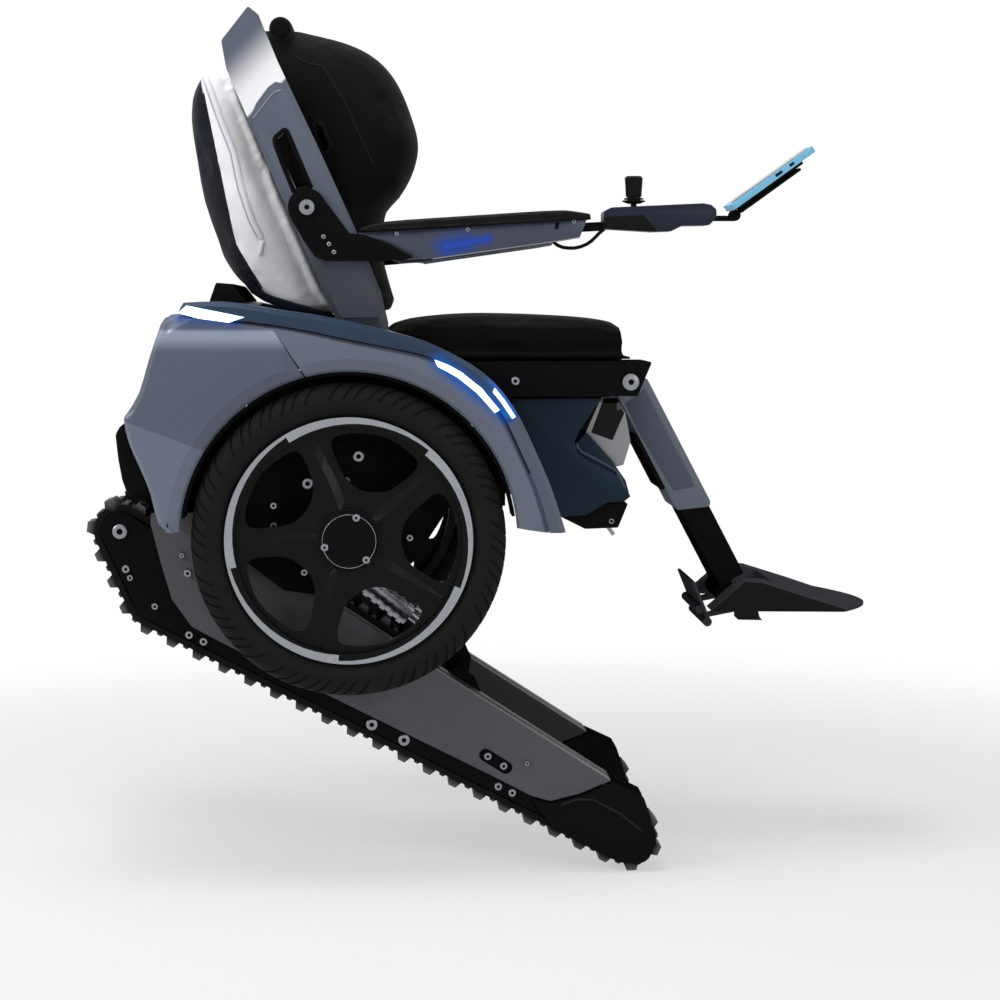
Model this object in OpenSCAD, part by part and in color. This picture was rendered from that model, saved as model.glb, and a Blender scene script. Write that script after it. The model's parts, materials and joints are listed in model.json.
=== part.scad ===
// Stair climbing wheelchair: two driven wheels, a pair of swinging rubber tracks, a lifting seat,
// a reclining back with flip-up arms, a hand control and a telescopic legrest.
// Side views are drawn from the wheel axle: x runs forward, z runs up, y runs to the chair's left.
// The chair's right side has negative y, and the left side is its mirror image.

/* [Wheels] */
// Outside diameter of a tyre
tyre_d = 520; // [505:1:526]
// Width of a tyre
tyre_w = 58; // [52:1:58]
// Distance from the chair's middle plane to a wheel's middle plane
wheel_plane = 314; // [314:1:318]
// Outside diameter of the silver rim ring
rim_d = 408; // [396:1:416]
// Width of the rim barrel
rim_w = 50; // [44:1:52]
// Diameter of the hub cap
hub_cap_d = 98; // [84:1:108]
// Number of spokes
spoke_count = 5; // [4:1:6]
// Radius of the fixed wheel axle
axle_r = 15; // [12:0.5:18]

/* [Tracks] */
// Distance from the kink pulley to the front pulley
run_l = 911; // [860:1:930]
// Slope of the run below level
run_angle = 27.4; // [26:0.1:29]
// Outside radius of the belt on its pulleys
belt_r = 44; // [42:0.5:46]
// Thickness of the belt without lugs
belt_t = 10; // [8:0.5:12]
// Width of the belt
belt_w = 56; // [48:1:56]
// Spacing of the large lugs
lug_pitch = 48.6; // [44:0.1:56]
// Height of a large lug
lug_h = 12; // [9:0.5:12]
// Distance from the chair's middle plane to a belt's middle plane
track_plane = 213; // [211:1:214]

/* [Body] */
// Gap between a tyre and the edge of its wheel arch
arch_gap = 18; // [17:0.5:20]
// Distance from the chair's middle plane to the outer skin
body_half = 343; // [341:1:346]
// Thickness of the moulded skins
skin_t = 4; // [3:0.5:5]
// Half width of the front housing
housing_half = 200; // [185:1:200]

/* [Seat] */
// Length of the seat cushion
seat_l = 417; // [390:1:425]
// Width of the seat cushion
seat_w = 400; // [360:1:402]
// Thickness of the seat cushion
seat_t = 76; // [60:1:80]
// Height of a seat side bar
bar_h = 54; // [50:1:56]

/* [Back] */
// Height of the back above its hinge
back_l = 551; // [520:1:580]
// Distance from the chair's middle plane to the inner face of a back wing
wing_plane = 214; // [213.5:0.5:217]
// Thickness of a back wing
wing_t = 14; // [10:0.5:16]

/* [Arms] */
// Length of an arm from its pivot
arm_l = 470; // [450:1:480]
// Width of an arm pad
pad_w = 64; // [54:1:66]
// Radius of the arm pivot pin
arm_pin_r = 10; // [8:0.5:11]

/* [Controls] */
// Length of the control box
box_l = 187; // [180:1:195]
// Width of the control box
box_w = 60; // [56:1:66]
// Diameter of the joystick grip
grip_d = 30; // [26:1:32]
// Length of the phone
phone_l = 168; // [150:1:172]
// Width of the phone
phone_w = 78; // [70:1:84]

/* [Legrest] */
// Slope of the leg away from plumb
leg_angle = 27.7; // [26:0.1:29]
// Width of the leg sleeve
leg_w = 150; // [140:1:156]
// Thickness of the leg sleeve
leg_t = 61; // [58:0.5:62]
// Length of the leg from its pivot to the foot hinge
leg_l = 430; // [410:1:440]
// Width of the footplate
foot_w = 296; // [280:1:300]
// Length of the footplate in front of its hinge
foot_l = 259; // [240:1:270]

/* [Hidden] */
$fn = 64;
wheel_facets = 128;
arc_steps = 16;

// Clearances shared by all pieces
fit = 0.06;
seam = 0.4;
overrun = 20;

// Wheel values
tyre_r = tyre_d / 2;
rim_r = rim_d / 2;
arch_r = tyre_r + arch_gap;
bead_drop = 6;
bead_r = rim_r - bead_drop;
barrel_t = 11;
barrel_r = bead_r - barrel_t;
flange_t = 3;
flange_drop = 1;
flange_r = rim_r - flange_drop;
ring_t = 3;
ring_thick = 15;
ring_thin = 5;
spoke_t = 14;
spoke_back = spoke_t / 2;
spoke_web_share = 0.5;
// Each spoke's ridge: radius, the angles of its two feet and its crest, its height
ridge_shares = [
    [0.22, 44, 58, 76, 0.94], [0.40, 45, 59, 75, 0.93], [0.52, 48.5, 60, 71, 0.88],
    [0.64, 52.5, 61.5, 68.5, 0.80], [0.76, 54, 62.5, 67.5, 0.66], [0.86, 54, 63, 67.5, 0.45],
    [0.95, 56, 63, 67, 0.25]
];
hub_margin = 4;
hub_r = hub_cap_d / 2 + hub_margin;
hub_cap_t = 8;
hub_dome = 3;
hub_bolts = 3;
hub_bolt_r = 6;
hub_bolt_h = 3;
hub_bolt_share = 0.84;
tyre_square_share = 0.75;
tyre_turn = 9;
notch_angle = 48.6;
// The window and ridge angles are drawn for this number of spokes
spoke_base = 5;
window_steps = 3;
ring_steps = 12;
window_shares = [
    [0.82, 51], [0.87, 40], [0.885, 21], [0.855, 2.4], [0.78, -2], [0.635, -1],
    [0.50, 4], [0.42, 24], [0.48, 42], [0.64, 49.5]
];
motor_r = 84;
motor_gap = 4;

// Track values, in a frame along the run that starts at the kink pulley
kink = [-330, -110];
sprocket_shares = [-0.112, 0.089];
pivot_shares = [0.085, 0.038];
cross_shares = [0.585, 0.105];
run_dir = [cos(run_angle), -sin(run_angle)];
run_up = [sin(run_angle), cos(run_angle)];
lug_base = 24;
lug_tip = 13;
tooth_base = 12;
tooth_tip = 7;
tooth_h = 4;
plate_t = 4;
plate_gap = 2;
plate_edge_drop = 13;
plate_edge_r = belt_r - plate_edge_drop;
cover_t = 5;
flange_w = 48;
pulley_r = belt_r - belt_t - seam;
roller_r = 20;
roller_shares = [0.24, 0.40, 0.56, 0.72];
track_axle_r = 9;
bend_steps = 12;
pivot_r = 18;
cross_r = 20;
cross_plate_t = 7;
cross_plate_shares = [
    [0.52, 0.0], [0.66, 0.0], [0.625, 0.115], [0.602, 0.134], [0.568, 0.134], [0.548, 0.115]
];
drive_r = 16;
belt_in = track_plane - belt_w / 2;
belt_out = track_plane + belt_w / 2;
plate_in = belt_in - plate_gap;
plate_out = belt_out + plate_gap;
cover_shares = [
    [-0.069, 0.128], [-0.018, 0.070], [0.029, 0.020], [0.085, -0.009], [0.174, -0.011],
    [0.706, -0.008], [0.792, -0.009], [0.829, -0.002], [0.872, 0.036], [0.913, 0.084],
    [0.522, 0.123], [-0.006, 0.183], [-0.076, 0.146]
];
cover_top_shares = [[0.913, 0.084], [0.522, 0.123], [-0.006, 0.183]];
nose_shares = [
    [0.796, -0.013], [0.831, -0.006], [0.876, 0.033], [0.916, 0.082], [0.983, 0.084],
    [1.014, 0.054], [1.044, 0.018], [1.046, -0.015], [1.033, -0.036], [0.980, -0.048],
    [0.86, -0.046]
];
nose_top_shares = [[0.983, 0.084], [0.916, 0.082]];
nose_t = 8;
bolt_h = 4;
// Each bolt has its place along and across the run, and its radius as a share of the belt radius
plate_bolt_shares = [
    [-0.112, 0.089, 0.28], [-0.071, 0.032, 0.15], [-0.057, 0.021, 0.12], [0.007, -0.006, 0.13],
    [0.087, -0.025, 0.15], [0.116, -0.024, 0.15], [0.464, -0.023, 0.22], [0.531, -0.022, 0.22],
    [0.729, -0.021, 0.15], [0.758, -0.020, 0.15], [0.685, 0.021, 0.15], [0.720, 0.018, 0.15]
];
cover_bolt_shares = [[0.756, 0.043, 0.10], [0.009, 0.102, 0.10], [0.033, 0.077, 0.15]];
cover_slot_shares = [[0.680, 0.0215], [0.725, 0.0175]];
cover_slot_r = 11;
cover_slot_steps = 10;

// Body values, outlines are shares of the arch radius from the axle
side_plate_t = 10;
side_plane = 262;
liner_t = 5;
liner_gap = 1;
liner_half_angle = 82;
liner_steps = 60;
plate_from = 20;
liner_inset = 20;
lip_w = 22;
lip_tuck = 8;
liner_plane = body_half - liner_inset;
plate_low_shares = [
    [-0.917, 0.335], [-0.72, -0.07], [-0.396, -0.32], [-0.144, -0.36], [0.216, -0.29],
    [0.378, -0.16], [0.619, 0.20], [0.917, 0.335]
];
deck_half = 235;
lower_wrap = 298;
wrap_height = 130;
skin_round = 4;
seam_shares = [
    [-0.986, 1.338], [-0.773, 1.312], [-0.604, 1.296], [-0.453, 1.277], [-0.219, 1.237],
    [-0.011, 1.191], [0.216, 1.147], [0.432, 1.101], [0.612, 1.029], [0.737, 0.946],
    [0.845, 0.835], [0.942, 0.683], [1.025, 0.504], [1.097, 0.342], [1.151, 0.180], [1.187, 0.043]
];
split_index = 3;
rear_edge_shares = [
    [-1.040, 1.325], [-1.086, 1.281], [-1.162, 1.065], [-1.219, 0.878], [-1.291, 0.759],
    [-1.309, 0.719], [-1.281, 0.583], [-1.219, 0.435], [-1.162, 0.288], [-1.119, 0.112],
    [-1.054, 0.058]
];
rail_top_shares = [
    [-0.955, 1.405], [-0.760, 1.412], [-0.590, 1.395], [-0.430, 1.366], [-0.180, 1.330],
    [0.050, 1.285], [0.260, 1.232], [0.470, 1.170], [0.669, 1.075], [0.800, 0.990],
    [0.915, 0.875], [1.020, 0.715], [1.105, 0.530], [1.180, 0.362], [1.240, 0.195], [1.288, 0.043]
];
rear_arch_angle = 104.6;
rear_arch_end = 176.7;
front_arch_end = 4;
panel_gap_angle = 0.3;
deck_shares = [[-0.594, 1.403], [-0.95, 1.403], [-1.07, 1.29], [-1.15, 1.065], [-1.2, 0.878], [-1.2, 0.68]];
deck_t = 5;
bumper_shares = [
    [-1.318, 0.700], [-1.353, 0.670], [-1.378, 0.626], [-1.363, 0.478], [-1.342, 0.356], [-1.317, 0.284],
    [-1.190, 0.284], [-1.190, 0.360], [-1.236, 0.470], [-1.287, 0.585]
];
bumper_half = 296;
handle_shares = [[-0.838, 1.4045], [-0.795, 1.525], [-0.70, 1.505], [-0.622, 1.4045]];
handle_half = 215;
handle_slot_shares = [[-0.81, 1.39], [-0.78, 1.46], [-0.70, 1.45], [-0.66, 1.39]];
handle_slot_half = 170;
front_shares = [
    [0.996, 0.817], [1.547, 0.817], [1.406, 0.608], [1.381, 0.547], [1.406, 0.475],
    [1.486, 0.424], [1.608, 0.363], [1.669, 0.320], [1.730, 0.212], [1.691, 0.180],
    [1.583, 0.173], [1.453, 0.097], [1.302, 0.086]
];
front_side_shares = [[1.187, 0.216], [0.996, 0.432]];
cap_shares = [
    [1.302, 0.083], [1.453, 0.094], [1.583, 0.170], [1.691, 0.177], [1.719, 0.162],
    [1.658, 0.014], [1.453, 0.007]
];
cap_half = 190;
pod_shares = [
    [1.54, 0.795], [1.453, 0.594], [1.489, 0.514], [1.583, 0.442], [1.644, 0.392],
    [1.691, 0.403], [1.734, 0.547], [1.700, 0.73]
];
pod_neck_shares = [[1.388, 0.56], [1.56, 0.56], [1.56, 0.52], [1.392, 0.52]];
pod_half = 185;
window_pane_shares = [[1.552, 0.775], [1.482, 0.608], [1.619, 0.558], [1.680, 0.735]];
pane_t = 2;
rear_light_shares = [[-0.986, 1.345], [-0.935, 1.388], [-0.601, 1.32], [-0.691, 1.289], [-0.867, 1.313]];
front_light_shares = [
    [0.507, 1.072], [0.590, 1.040], [0.665, 0.998], [0.784, 0.903], [0.890, 0.775],
    [0.862, 0.757], [0.757, 0.875], [0.644, 0.966], [0.575, 1.005], [0.525, 1.030]
];
nose_light_shares = [
    [0.862, 0.905], [0.915, 0.84], [0.985, 0.735], [0.965, 0.722], [0.895, 0.825], [0.850, 0.880]
];
light_t = 1.6;
light_proud = 0.2;

// Frame values
beam_in = 125;
beam_out = 160;
beam_low = 40;
beam_high = 130;
beam_rear = -260;
beam_front = 268;
floor_rear = -225;
floor_t = 6;
outrigger_w = 60;
outrigger_x = 90;
outrigger_low = 85;
pivot_plate_t = 12;
pivot_eye_r = 34;
bracket_spread = 45;
post_w = 30;
post_y = 75;
battery_l = 268;
battery_h = 150;
battery_rear = -195;
column_x = 150;
column_w = 100;
column_wall = 6;
column_top = 226;
ram_gap = 0.3;
ram_low = 64;
actuator_y = 105;
actuator_r = 22;
actuator_rib_r = 25;
actuator_ribs = 8;
actuator_start = [-10, -62];
actuator_end = [163, -203];
actuator_barrel_share = 0.66;
actuator_rod_r = 9;
actuator_eye_r = 13;
actuator_eye_t = 16;
actuator_pin_r = 7;
actuator_plate_t = 6;
chassis_bolt_shares = [
    [0.058, 0.486, 1.6], [-0.248, 0.324, 1.6], [-0.453, 0.192, 1], [-0.453, 0.072, 1],
    [-0.014, 0.342, 1], [0.363, -0.007, 1], [-0.272, -0.212, 1]
];
chassis_bolt_r = 6;

// Seat values
seat_rear = 58;
bar_top = 286;
bar_low = bar_top - bar_h;
bar_in = 203;
bar_out = 225;
bar_rear = 224;
bar_front = 512;
bar_slope = 23;
bar_wall = 6;
ear_t = 10;
ear_r = 22;
pan_t = 4;
pan_front = 470;
hinge = [55, 327];
hinge_r = 8;
cross_w = 26;
cross_drop = 40;
leg_joint = [477, 256];
leg_pin_r = 12;
leg_head_r = 14;
leg_head_t = 5;
leg_notch = 82;
lip_front = 470;
ring_points = 28;
cushion_square_share = 0.32;
seat_crown_shares = [0.72, 0.88, 0.96, 1.0, 1.0, 0.98, 0.95, 0.90, 0.80];
seat_tuck_shares = [0.94, 0.985, 1.0, 1.0, 0.995, 1.0, 1.0, 0.985, 0.95];

// Back values, outlines are shares of the back length from its hinge
wing_shares = [
    [-0.394, 1.0], [-0.475, 0.898], [-0.461, 0.815], [-0.338, 0.530], [-0.216, 0.240],
    [-0.132, 0.054], [-0.06, -0.01], [0.022, 0.02], [0.022, 0.054], [0.0, 0.147],
    [-0.071, 0.325], [-0.185, 0.577], [-0.307, 0.837], [-0.363, 0.975]
];
// The raised lower panel on a wing's outer face
panel_shares = [
    [-0.390, 0.672], [-0.372, 0.712], [-0.338, 0.758], [-0.314, 0.777], [-0.290, 0.770],
    [-0.196, 0.574], [-0.084, 0.323], [-0.014, 0.143], [-0.004, 0.070], [-0.122, 0.068],
    [-0.206, 0.243], [-0.328, 0.532]
];
panel_t = 2.5;
wing_face = wing_plane + wing_t + panel_t;
wing_slot_shares = [[-0.318, 0.597], [-0.283, 0.630], [-0.207, 0.462], [-0.254, 0.458]];
frame_rear_shares = [[-0.114, 0.069], [-0.439, 0.815]];
frame_depth_share = 0.033;
// Front of the back cushion as height and depth, then its half width as a share of the wing distance
back_form_shares = [
    [0.085, 0.045, 0.77], [0.120, 0.040, 0.89], [0.236, 0.007, 0.91], [0.330, 0.004, 0.89],
    [0.405, 0.016, 0.86], [0.450, 0.058, 0.85], [0.508, 0.094, 0.85], [0.570, 0.116, 0.85],
    [0.617, 0.120, 0.85], [0.675, 0.103, 0.845], [0.744, 0.078, 0.83], [0.813, 0.047, 0.80],
    [0.869, 0.000, 0.75], [0.905, -0.062, 0.675], [0.930, -0.150, 0.58], [0.955, -0.250, 0.46]
];
// Rear of the bag as height and depth, then its half width as a share of the wing distance
bag_form_shares = [
    [0.078, -0.170, 0.695], [0.100, -0.300, 0.81], [0.150, -0.405, 0.85], [0.211, -0.468, 0.87],
    [0.305, -0.501, 0.88], [0.430, -0.543, 0.88], [0.555, -0.564, 0.87], [0.680, -0.582, 0.855],
    [0.745, -0.583, 0.837], [0.790, -0.565, 0.80], [0.825, -0.540, 0.75], [0.850, -0.505, 0.645]
];
form_steps = 2;
bag_square_share = 0.45;

// Arm values, outlines are shares of the arm length from its pivot
arm_pivot = [-66, 546];
arm_in = 238;
arm_out = 281;
bracket_t = 12;
arm_eye_r = 31;
arm_head_r = 12.5;
arm_head_t = 5;
bracket_shares = [
    [-0.062, -0.015], [-0.053, -0.045], [-0.011, -0.117], [0.026, -0.170], [0.062, -0.187],
    [0.255, -0.187], [0.370, -0.177], [0.289, -0.128], [0.202, -0.095], [0.149, -0.090],
    [0.115, -0.045], [0.055, 0.035]
];
rail_shares = [
    [0.179, -0.087], [0.957, -0.0426], [0.947, -0.102], [0.434, -0.174],
    [0.350, -0.178], [0.225, -0.140]
];
rail_cut = 8;
rail_cut_index = 3;
pad_start_share = 0.179;
pad_end_share = 1.0;
pad_low_share = -0.087;
pad_rise_share = 0.0468;
pad_t = 18;
pad_rear_share = 0.8;
pad_end_w_share = 0.7;
pad_end_t_share = 0.45;
pad_end_power = 6;
pad_rings = 10;
pad_points = 20;
pad_plane = 268;
arm_slope = 3.2;
bar_start_share = 0.62;
slide_h = 15;
slide_w = 24;
slide_gap = 0.3;
slide_drop_share = 0.102;

// Control values, the box outline is in shares of its length from its lower rear end
control_y = -270;
box_corner_shares = [1.0404, -0.0617];
box_corner = arm_pivot + arm_l * box_corner_shares;
box_shares = [
    [0.0, 0.123], [0.07, 0.160], [0.882, 0.198], [0.95, 0.185], [1.0, 0.144], [1.0, 0.070],
    [0.936, 0.005], [0.695, 0.0], [0.60, -0.048], [0.439, -0.053], [0.0, -0.027]
];
box_edge = 4;
box_edge_share = 0.95;
box_middle_shares = [0.5, 0.072];
stick_x_share = 0.278;
stick_z_share = 0.135;
well_half = 18;
well_depth = 15;
ball_r = 7;
gimbal_r = 12;
gimbal_h = 8;
trunnion_r = 2;
stem_r = 5;
grip_low = 23;
grip_high = 57;
grip_edge = 3;
grip_flare = 2;
bellows_r = 19;
bellows_foot_r = 10;
bellows_foot = 11.5;
bellows_low = 15;
bellows_t = 2;
waist_r = 11;
collar_r = 16;
collar_low = 18.5;
collar_t = 2.5;
cable_r = 3;
cable_sides = 8;
cable_y = -252;
// Route of the control cable from the arm rail to the control box
cable_route = [
    [340, 494], [345, 489], [351, 485], [359, 482], [368, 481], [378, 481], [388, 483], [398, 487],
    [407, 493], [414, 500], [420, 506], [426, 511], [431, 516]
];
phone_hinge_shares = [1.1818, 0.0963];
phone_hinge = box_corner + box_l * phone_hinge_shares;
phone_angle = 35.6;
eye_r = 9.4;
eye_w = 8;
eye_pin_r = 3;
arm_rod_h = 9;
cradle_t = 5;
cradle_w = 60;
cradle_start = 6;
cradle_l = 132;
cradle_low = eye_r + seam - cradle_t;
phone_t = 11;
phone_back = 2;
phone_corner_r = 9;
// Start and end of each port along the phone's near edge
phone_port_shares = [[0.53, 0.61], [0.70, 0.755]];
port_depth = 1.5;
port_margin = 3;

// Legrest values, in a frame at the leg pivot with z up along the leg
sleeve_rear = 18.5;
sleeve_wall = 6;
sleeve_cut = 9;
sleeve_top = 16;
sleeve_low = 254;
sleeve_low_front = 276;
sleeve_shoulder = 25;
tube_gap = 0.2;
tube_top = 60;
tube_wall = 4;
sleeve_roof = 24;
foot_pin_r = 8;
foot_eye_r = 18;
foot_wall = 6;
foot_notch = 82;
foot_notch_l = 80;
foot_toe_share = 0.76;
// Side view of the footplate in shares of its length from the foot hinge
foot_shares = [
    [-0.148, -0.078], [1.0, -0.094], [1.0, -0.080], [0.763, -0.060], [0.565, 0.008], [0.253, 0.107],
    [0.078, 0.120], [-0.031, 0.023]
];
foot_hollow_shares = [
    [-0.06, -0.2], [0.90, -0.2], [0.80, -0.085], [0.56, -0.018], [0.25, 0.082], [0.085, 0.093],
    [-0.01, 0.012]
];
foot_lug_shares = [[0.031, -0.070], [0.031, -0.138], [0.197, -0.142], [0.178, -0.12], [0.165, -0.070]];
foot_lug_w = 45;
heel_shares = [[-0.255, 0.095], [-0.235, 0.098], [-0.128, -0.158], [-0.150, -0.166]];
heel_link_shares = [[-0.16, -0.150], [-0.16, -0.118], [0.04, -0.060], [0.04, -0.112]];
heel_roller_shares = [[-0.195, -0.098], [-0.143, -0.185]];
heel_half = 96;
heel_link_t = 10;
roller_half = 90;
heel_roller_r = 8;

// Point helpers
function scaled(shares, k) = [for (p = shares) [p[0] * k, p[1] * k]];
function moved(pts, o) = [for (p = pts) p + o];
function arc(c, r, a0, a1, n) = [for (i = [0:n]) let (a = a0 + (a1 - a0) * i / n) c + r * [cos(a), sin(a)]];
function reversed(v) = [for (i = [len(v) - 1:-1:0]) v[i]];
function flat(v) = [for (a = v) for (b = a) b];
function blend(a, b, c, d, t) =
    0.5 * (2 * b + (c - a) * t + (2 * a - 5 * b + 4 * c - d) * t * t + (3 * b - a - 3 * c + d) * t * t * t);
function curve(p, n) = concat(
    [for (i = [0:len(p) - 2]) for (k = [0:n - 1])
        blend(p[max(i - 1, 0)], p[i], p[i + 1], p[min(i + 2, len(p) - 1)], k / n)],
    [p[len(p) - 1]]
);
function loop_curve(p, n) = let (m = len(p))
    [for (i = [0:m - 1]) for (k = [0:n - 1])
        blend(p[(i + m - 1) % m], p[i], p[(i + 1) % m], p[(i + 2) % m], k / n)];
function power(v, e) = sign(v) * pow(abs(v), e);
function unit(v) = v / norm(v);
function left_of(v) = [-v[1], v[0]];
function corner_normal(p, i) = let (
        a = left_of(unit(p[max(i, 1)] - p[max(i, 1) - 1])),
        b = left_of(unit(p[min(i, len(p) - 2) + 1] - p[min(i, len(p) - 2)])),
        m = unit(a + b)
    ) m / (m * a);
function path_offset(p, t) = [for (i = [0:len(p) - 1]) p[i] + t * corner_normal(p, i)];
function band(p, t) = concat(p, reversed(path_offset(p, t)));
function along_run(s) = kink + s[0] * run_l * run_dir + s[1] * run_l * run_up;
function on_run(shares) = [for (s = shares) along_run(s)];

// The belt runs over three pulleys of one radius
pulleys = [along_run(sprocket_shares), kink, along_run([1, 0])];
function leg_vec(i) = pulleys[(i + 1) % 3] - pulleys[i];
function leg_out(i) = atan2(-leg_vec(i)[0], leg_vec(i)[1]);
function leg_turn(i) = (leg_out((i + 1) % 3) - leg_out(i) + 720) % 360;
function loop_at(s, h, i = 0) = let (
        straight = norm(leg_vec(i)),
        bend = belt_r * leg_turn(i) * PI / 180,
        a = leg_out(i) + max(s - straight, 0) / belt_r * 180 / PI,
        out = (belt_r + h) * [cos(a), sin(a)]
    )
    s <= straight ? pulleys[i] + unit(leg_vec(i)) * s + out
    : s <= straight + bend ? pulleys[(i + 1) % 3] + out
    : loop_at(s - straight - bend, h, (i + 1) % 3);
function round_loop(r) = [for (i = [0:2])
    for (p = arc(pulleys[(i + 1) % 3], r, leg_out(i), leg_out(i) + leg_turn(i), bend_steps)) p];
belt_l = norm(leg_vec(0)) + norm(leg_vec(1)) + norm(leg_vec(2)) + 2 * PI * belt_r;
lug_count = round(belt_l / lug_pitch);
lug_step = belt_l / lug_count;
belt_edge = [for (k = [0:lug_count - 1]) for (q = [
        [lug_step / 2 - lug_base / 2, 0], [lug_step / 2 - lug_tip / 2, lug_h],
        [lug_step / 2 + lug_tip / 2, lug_h], [lug_step / 2 + lug_base / 2, 0],
        [lug_step - tooth_base / 2, 0], [lug_step - tooth_tip / 2, tooth_h],
        [lug_step + tooth_tip / 2, tooth_h], [lug_step + tooth_base / 2, 0]
    ]) loop_at((k * lug_step + q[0]) % belt_l, q[1])];

// The part's origin lies under the middle of its length, on the lowest lugs
leg_down = [sin(leg_angle), -cos(leg_angle)];
leg_front = [cos(leg_angle), sin(leg_angle)];
foot_hinge = leg_joint + leg_l * leg_down - foot_pin_r * leg_front;
rear_end = min([for (p = belt_edge) p[0]]);
low_end = min([for (p = belt_edge) p[1]]);
front_end = foot_hinge[0] + foot_l;
module placed() {
    translate([-(rear_end + front_end) / 2, 0, -low_end]) children();
}

// A side outline given a thickness between two lateral planes
module side(pts, y0, y1) {
    translate([0, y1, 0]) rotate([90, 0, 0]) linear_extrude(y1 - y0) polygon(pts);
}

// A round bar across the chair between two lateral planes
module across(c, r, y0, y1) {
    translate([c[0], y1, c[1]]) rotate([90, 0, 0]) cylinder(r = r, h = y1 - y0);
}

// A block between two corners
module block(a, b) {
    translate(a) cube(b - a);
}

// The right side and its mirror image
module both() {
    children();
    mirror([0, 1, 0]) children();
}

module on_left() {
    mirror([0, 1, 0]) children();
}

// A wall between an outer and an inner grid of points
module wall(outer, inner) {
    n = len(outer);
    k = len(outer[0]);
    m = n * k;
    skin = [for (i = [0:n - 2]) for (j = [0:k - 2]) let (a = i * k + j, b = a + k)
        [[a, a + 1, b + 1], [a, b + 1, b], [m + a, m + b + 1, m + a + 1], [m + a, m + b, m + b + 1]]];
    rims = [for (i = [0:n - 2]) let (a = i * k, b = a + k, c = a + k - 1, d = c + k)
        [[a, b, m + b], [a, m + b, m + a], [c, m + d, d], [c, m + c, m + d]]];
    last = (n - 1) * k;
    ends = [for (j = [0:k - 2])
        [[j, m + j + 1, j + 1], [j, m + j, m + j + 1],
         [last + j, last + j + 1, m + last + j + 1], [last + j, m + last + j + 1, m + last + j]]];
    faces = concat(flat(skin), flat(rims), flat(ends));
    polyhedron(points = concat(flat(outer), flat(inner)), faces = faces);
}

// A closed form through a row of rings
module form(rings) {
    n = len(rings);
    k = len(rings[0]);
    skin = [for (i = [0:n - 2]) for (j = [0:k - 1]) let (a = i * k + j, b = i * k + (j + 1) % k)
        [[a, b + k, b], [a, a + k, b + k]]];
    low = [for (j = [1:k - 2]) [0, j, j + 1]];
    top = [for (j = [1:k - 2]) [(n - 1) * k, (n - 1) * k + j + 1, (n - 1) * k + j]];
    polyhedron(points = flat(rings), faces = concat(flat(skin), low, top));
}

// Wheels

module tyre() {
    mid = (tyre_r + bead_r + seam) / 2;
    reach = (tyre_r - bead_r - seam) / 2;
    pts = [for (a = [0:tyre_turn:360 - tyre_turn])
        [mid + reach * power(sin(a), tyre_square_share), tyre_w / 2 * power(cos(a), tyre_square_share)]];
    color("#16171a") placed() translate([0, -wheel_plane, 0]) rotate([90, 0, 0])
        rotate_extrude($fn = wheel_facets) polygon(pts);
}

function window(k) = loop_curve([for (w = window_shares)
    let (a = notch_angle + k * 360 / spoke_count + w[1] * spoke_base / spoke_count)
    rim_r * w[0] * [cos(a), sin(a)]], window_steps);

module rim_face() {
    difference() {
        circle(r = barrel_r + seam, $fn = wheel_facets);
        for (k = [0:spoke_count - 1]) polygon(window(k));
    }
}

// A crest along a spoke, off its middle line
module spoke_ridge() {
    foot = spoke_back + spoke_t * spoke_web_share / 2;
    rise = spoke_t * (1 - spoke_web_share / 2);
    squeeze = spoke_base / spoke_count;
    form([for (q = ridge_shares) [for (p = [[q[1], 0], [q[3], 0], [q[2], q[4]]])
        [rim_r * q[0] * cos(p[0] * squeeze), rim_r * q[0] * sin(p[0] * squeeze), foot + p[1] * rise]]]);
}

module rim() {
    half = rim_w / 2;
    barrel = [
        [barrel_r, -half], [barrel_r, half], [flange_r, half], [flange_r, half - flange_t],
        [bead_r, half - 2 * flange_t], [bead_r, 2 * flange_t - half], [flange_r, flange_t - half],
        [flange_r, -half]
    ];
    color("#1a1b1e") placed() translate([0, -wheel_plane, 0]) rotate([90, 0, 0]) difference() {
        union() {
            rotate_extrude($fn = wheel_facets) polygon(barrel);
            translate([0, 0, spoke_back]) linear_extrude(spoke_t * spoke_web_share) rim_face();
            for (k = [0:spoke_count - 1]) rotate([0, 0, notch_angle + k * 360 / spoke_count]) spoke_ridge();
            translate([0, 0, -spoke_back]) cylinder(r = hub_r, h = spoke_back + spoke_t + spoke_back);
        }
        translate([0, 0, -overrun]) cylinder(r = axle_r + fit, h = 2 * overrun + rim_w);
    }
}

module rim_trim() {
    step = 360 / spoke_count;
    inner = [for (k = [0:spoke_count - 1]) for (i = [0:ring_steps])
        let (a = notch_angle + (k - 1 + i / ring_steps) * step)
        (rim_r - ring_thin - (ring_thick - ring_thin) * i / ring_steps) * [cos(a), sin(a)]];
    face = spoke_t + 2 * spoke_back + hub_cap_t - spoke_back;
    color("#c9cdd3") placed() translate([0, -wheel_plane, 0]) rotate([90, 0, 0]) {
        translate([0, 0, rim_w / 2]) linear_extrude(ring_t) difference() {
            circle(r = rim_r, $fn = wheel_facets);
            polygon(inner);
        }
        for (k = [1:hub_bolts]) rotate([0, 0, notch_angle / 2 + notch_angle + k * 360 / hub_bolts]) {
            translate([hub_cap_d / 2 * hub_bolt_share, 0, face]) cylinder(r = hub_bolt_r, h = hub_bolt_h);
        }
    }
}

module hub_cap() {
    r = hub_cap_d / 2;
    flat_r = r - hub_dome;
    face = spoke_t + spoke_back;
    color("#101113") placed() translate([0, -wheel_plane, 0]) rotate([90, 0, 0]) translate([0, 0, face])
        rotate_extrude($fn = wheel_facets)
            polygon([[0, 0], [r, 0], [r, hub_cap_t - hub_dome], [flat_r, hub_cap_t], [0, hub_cap_t]]);
}

// Tracks

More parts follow.
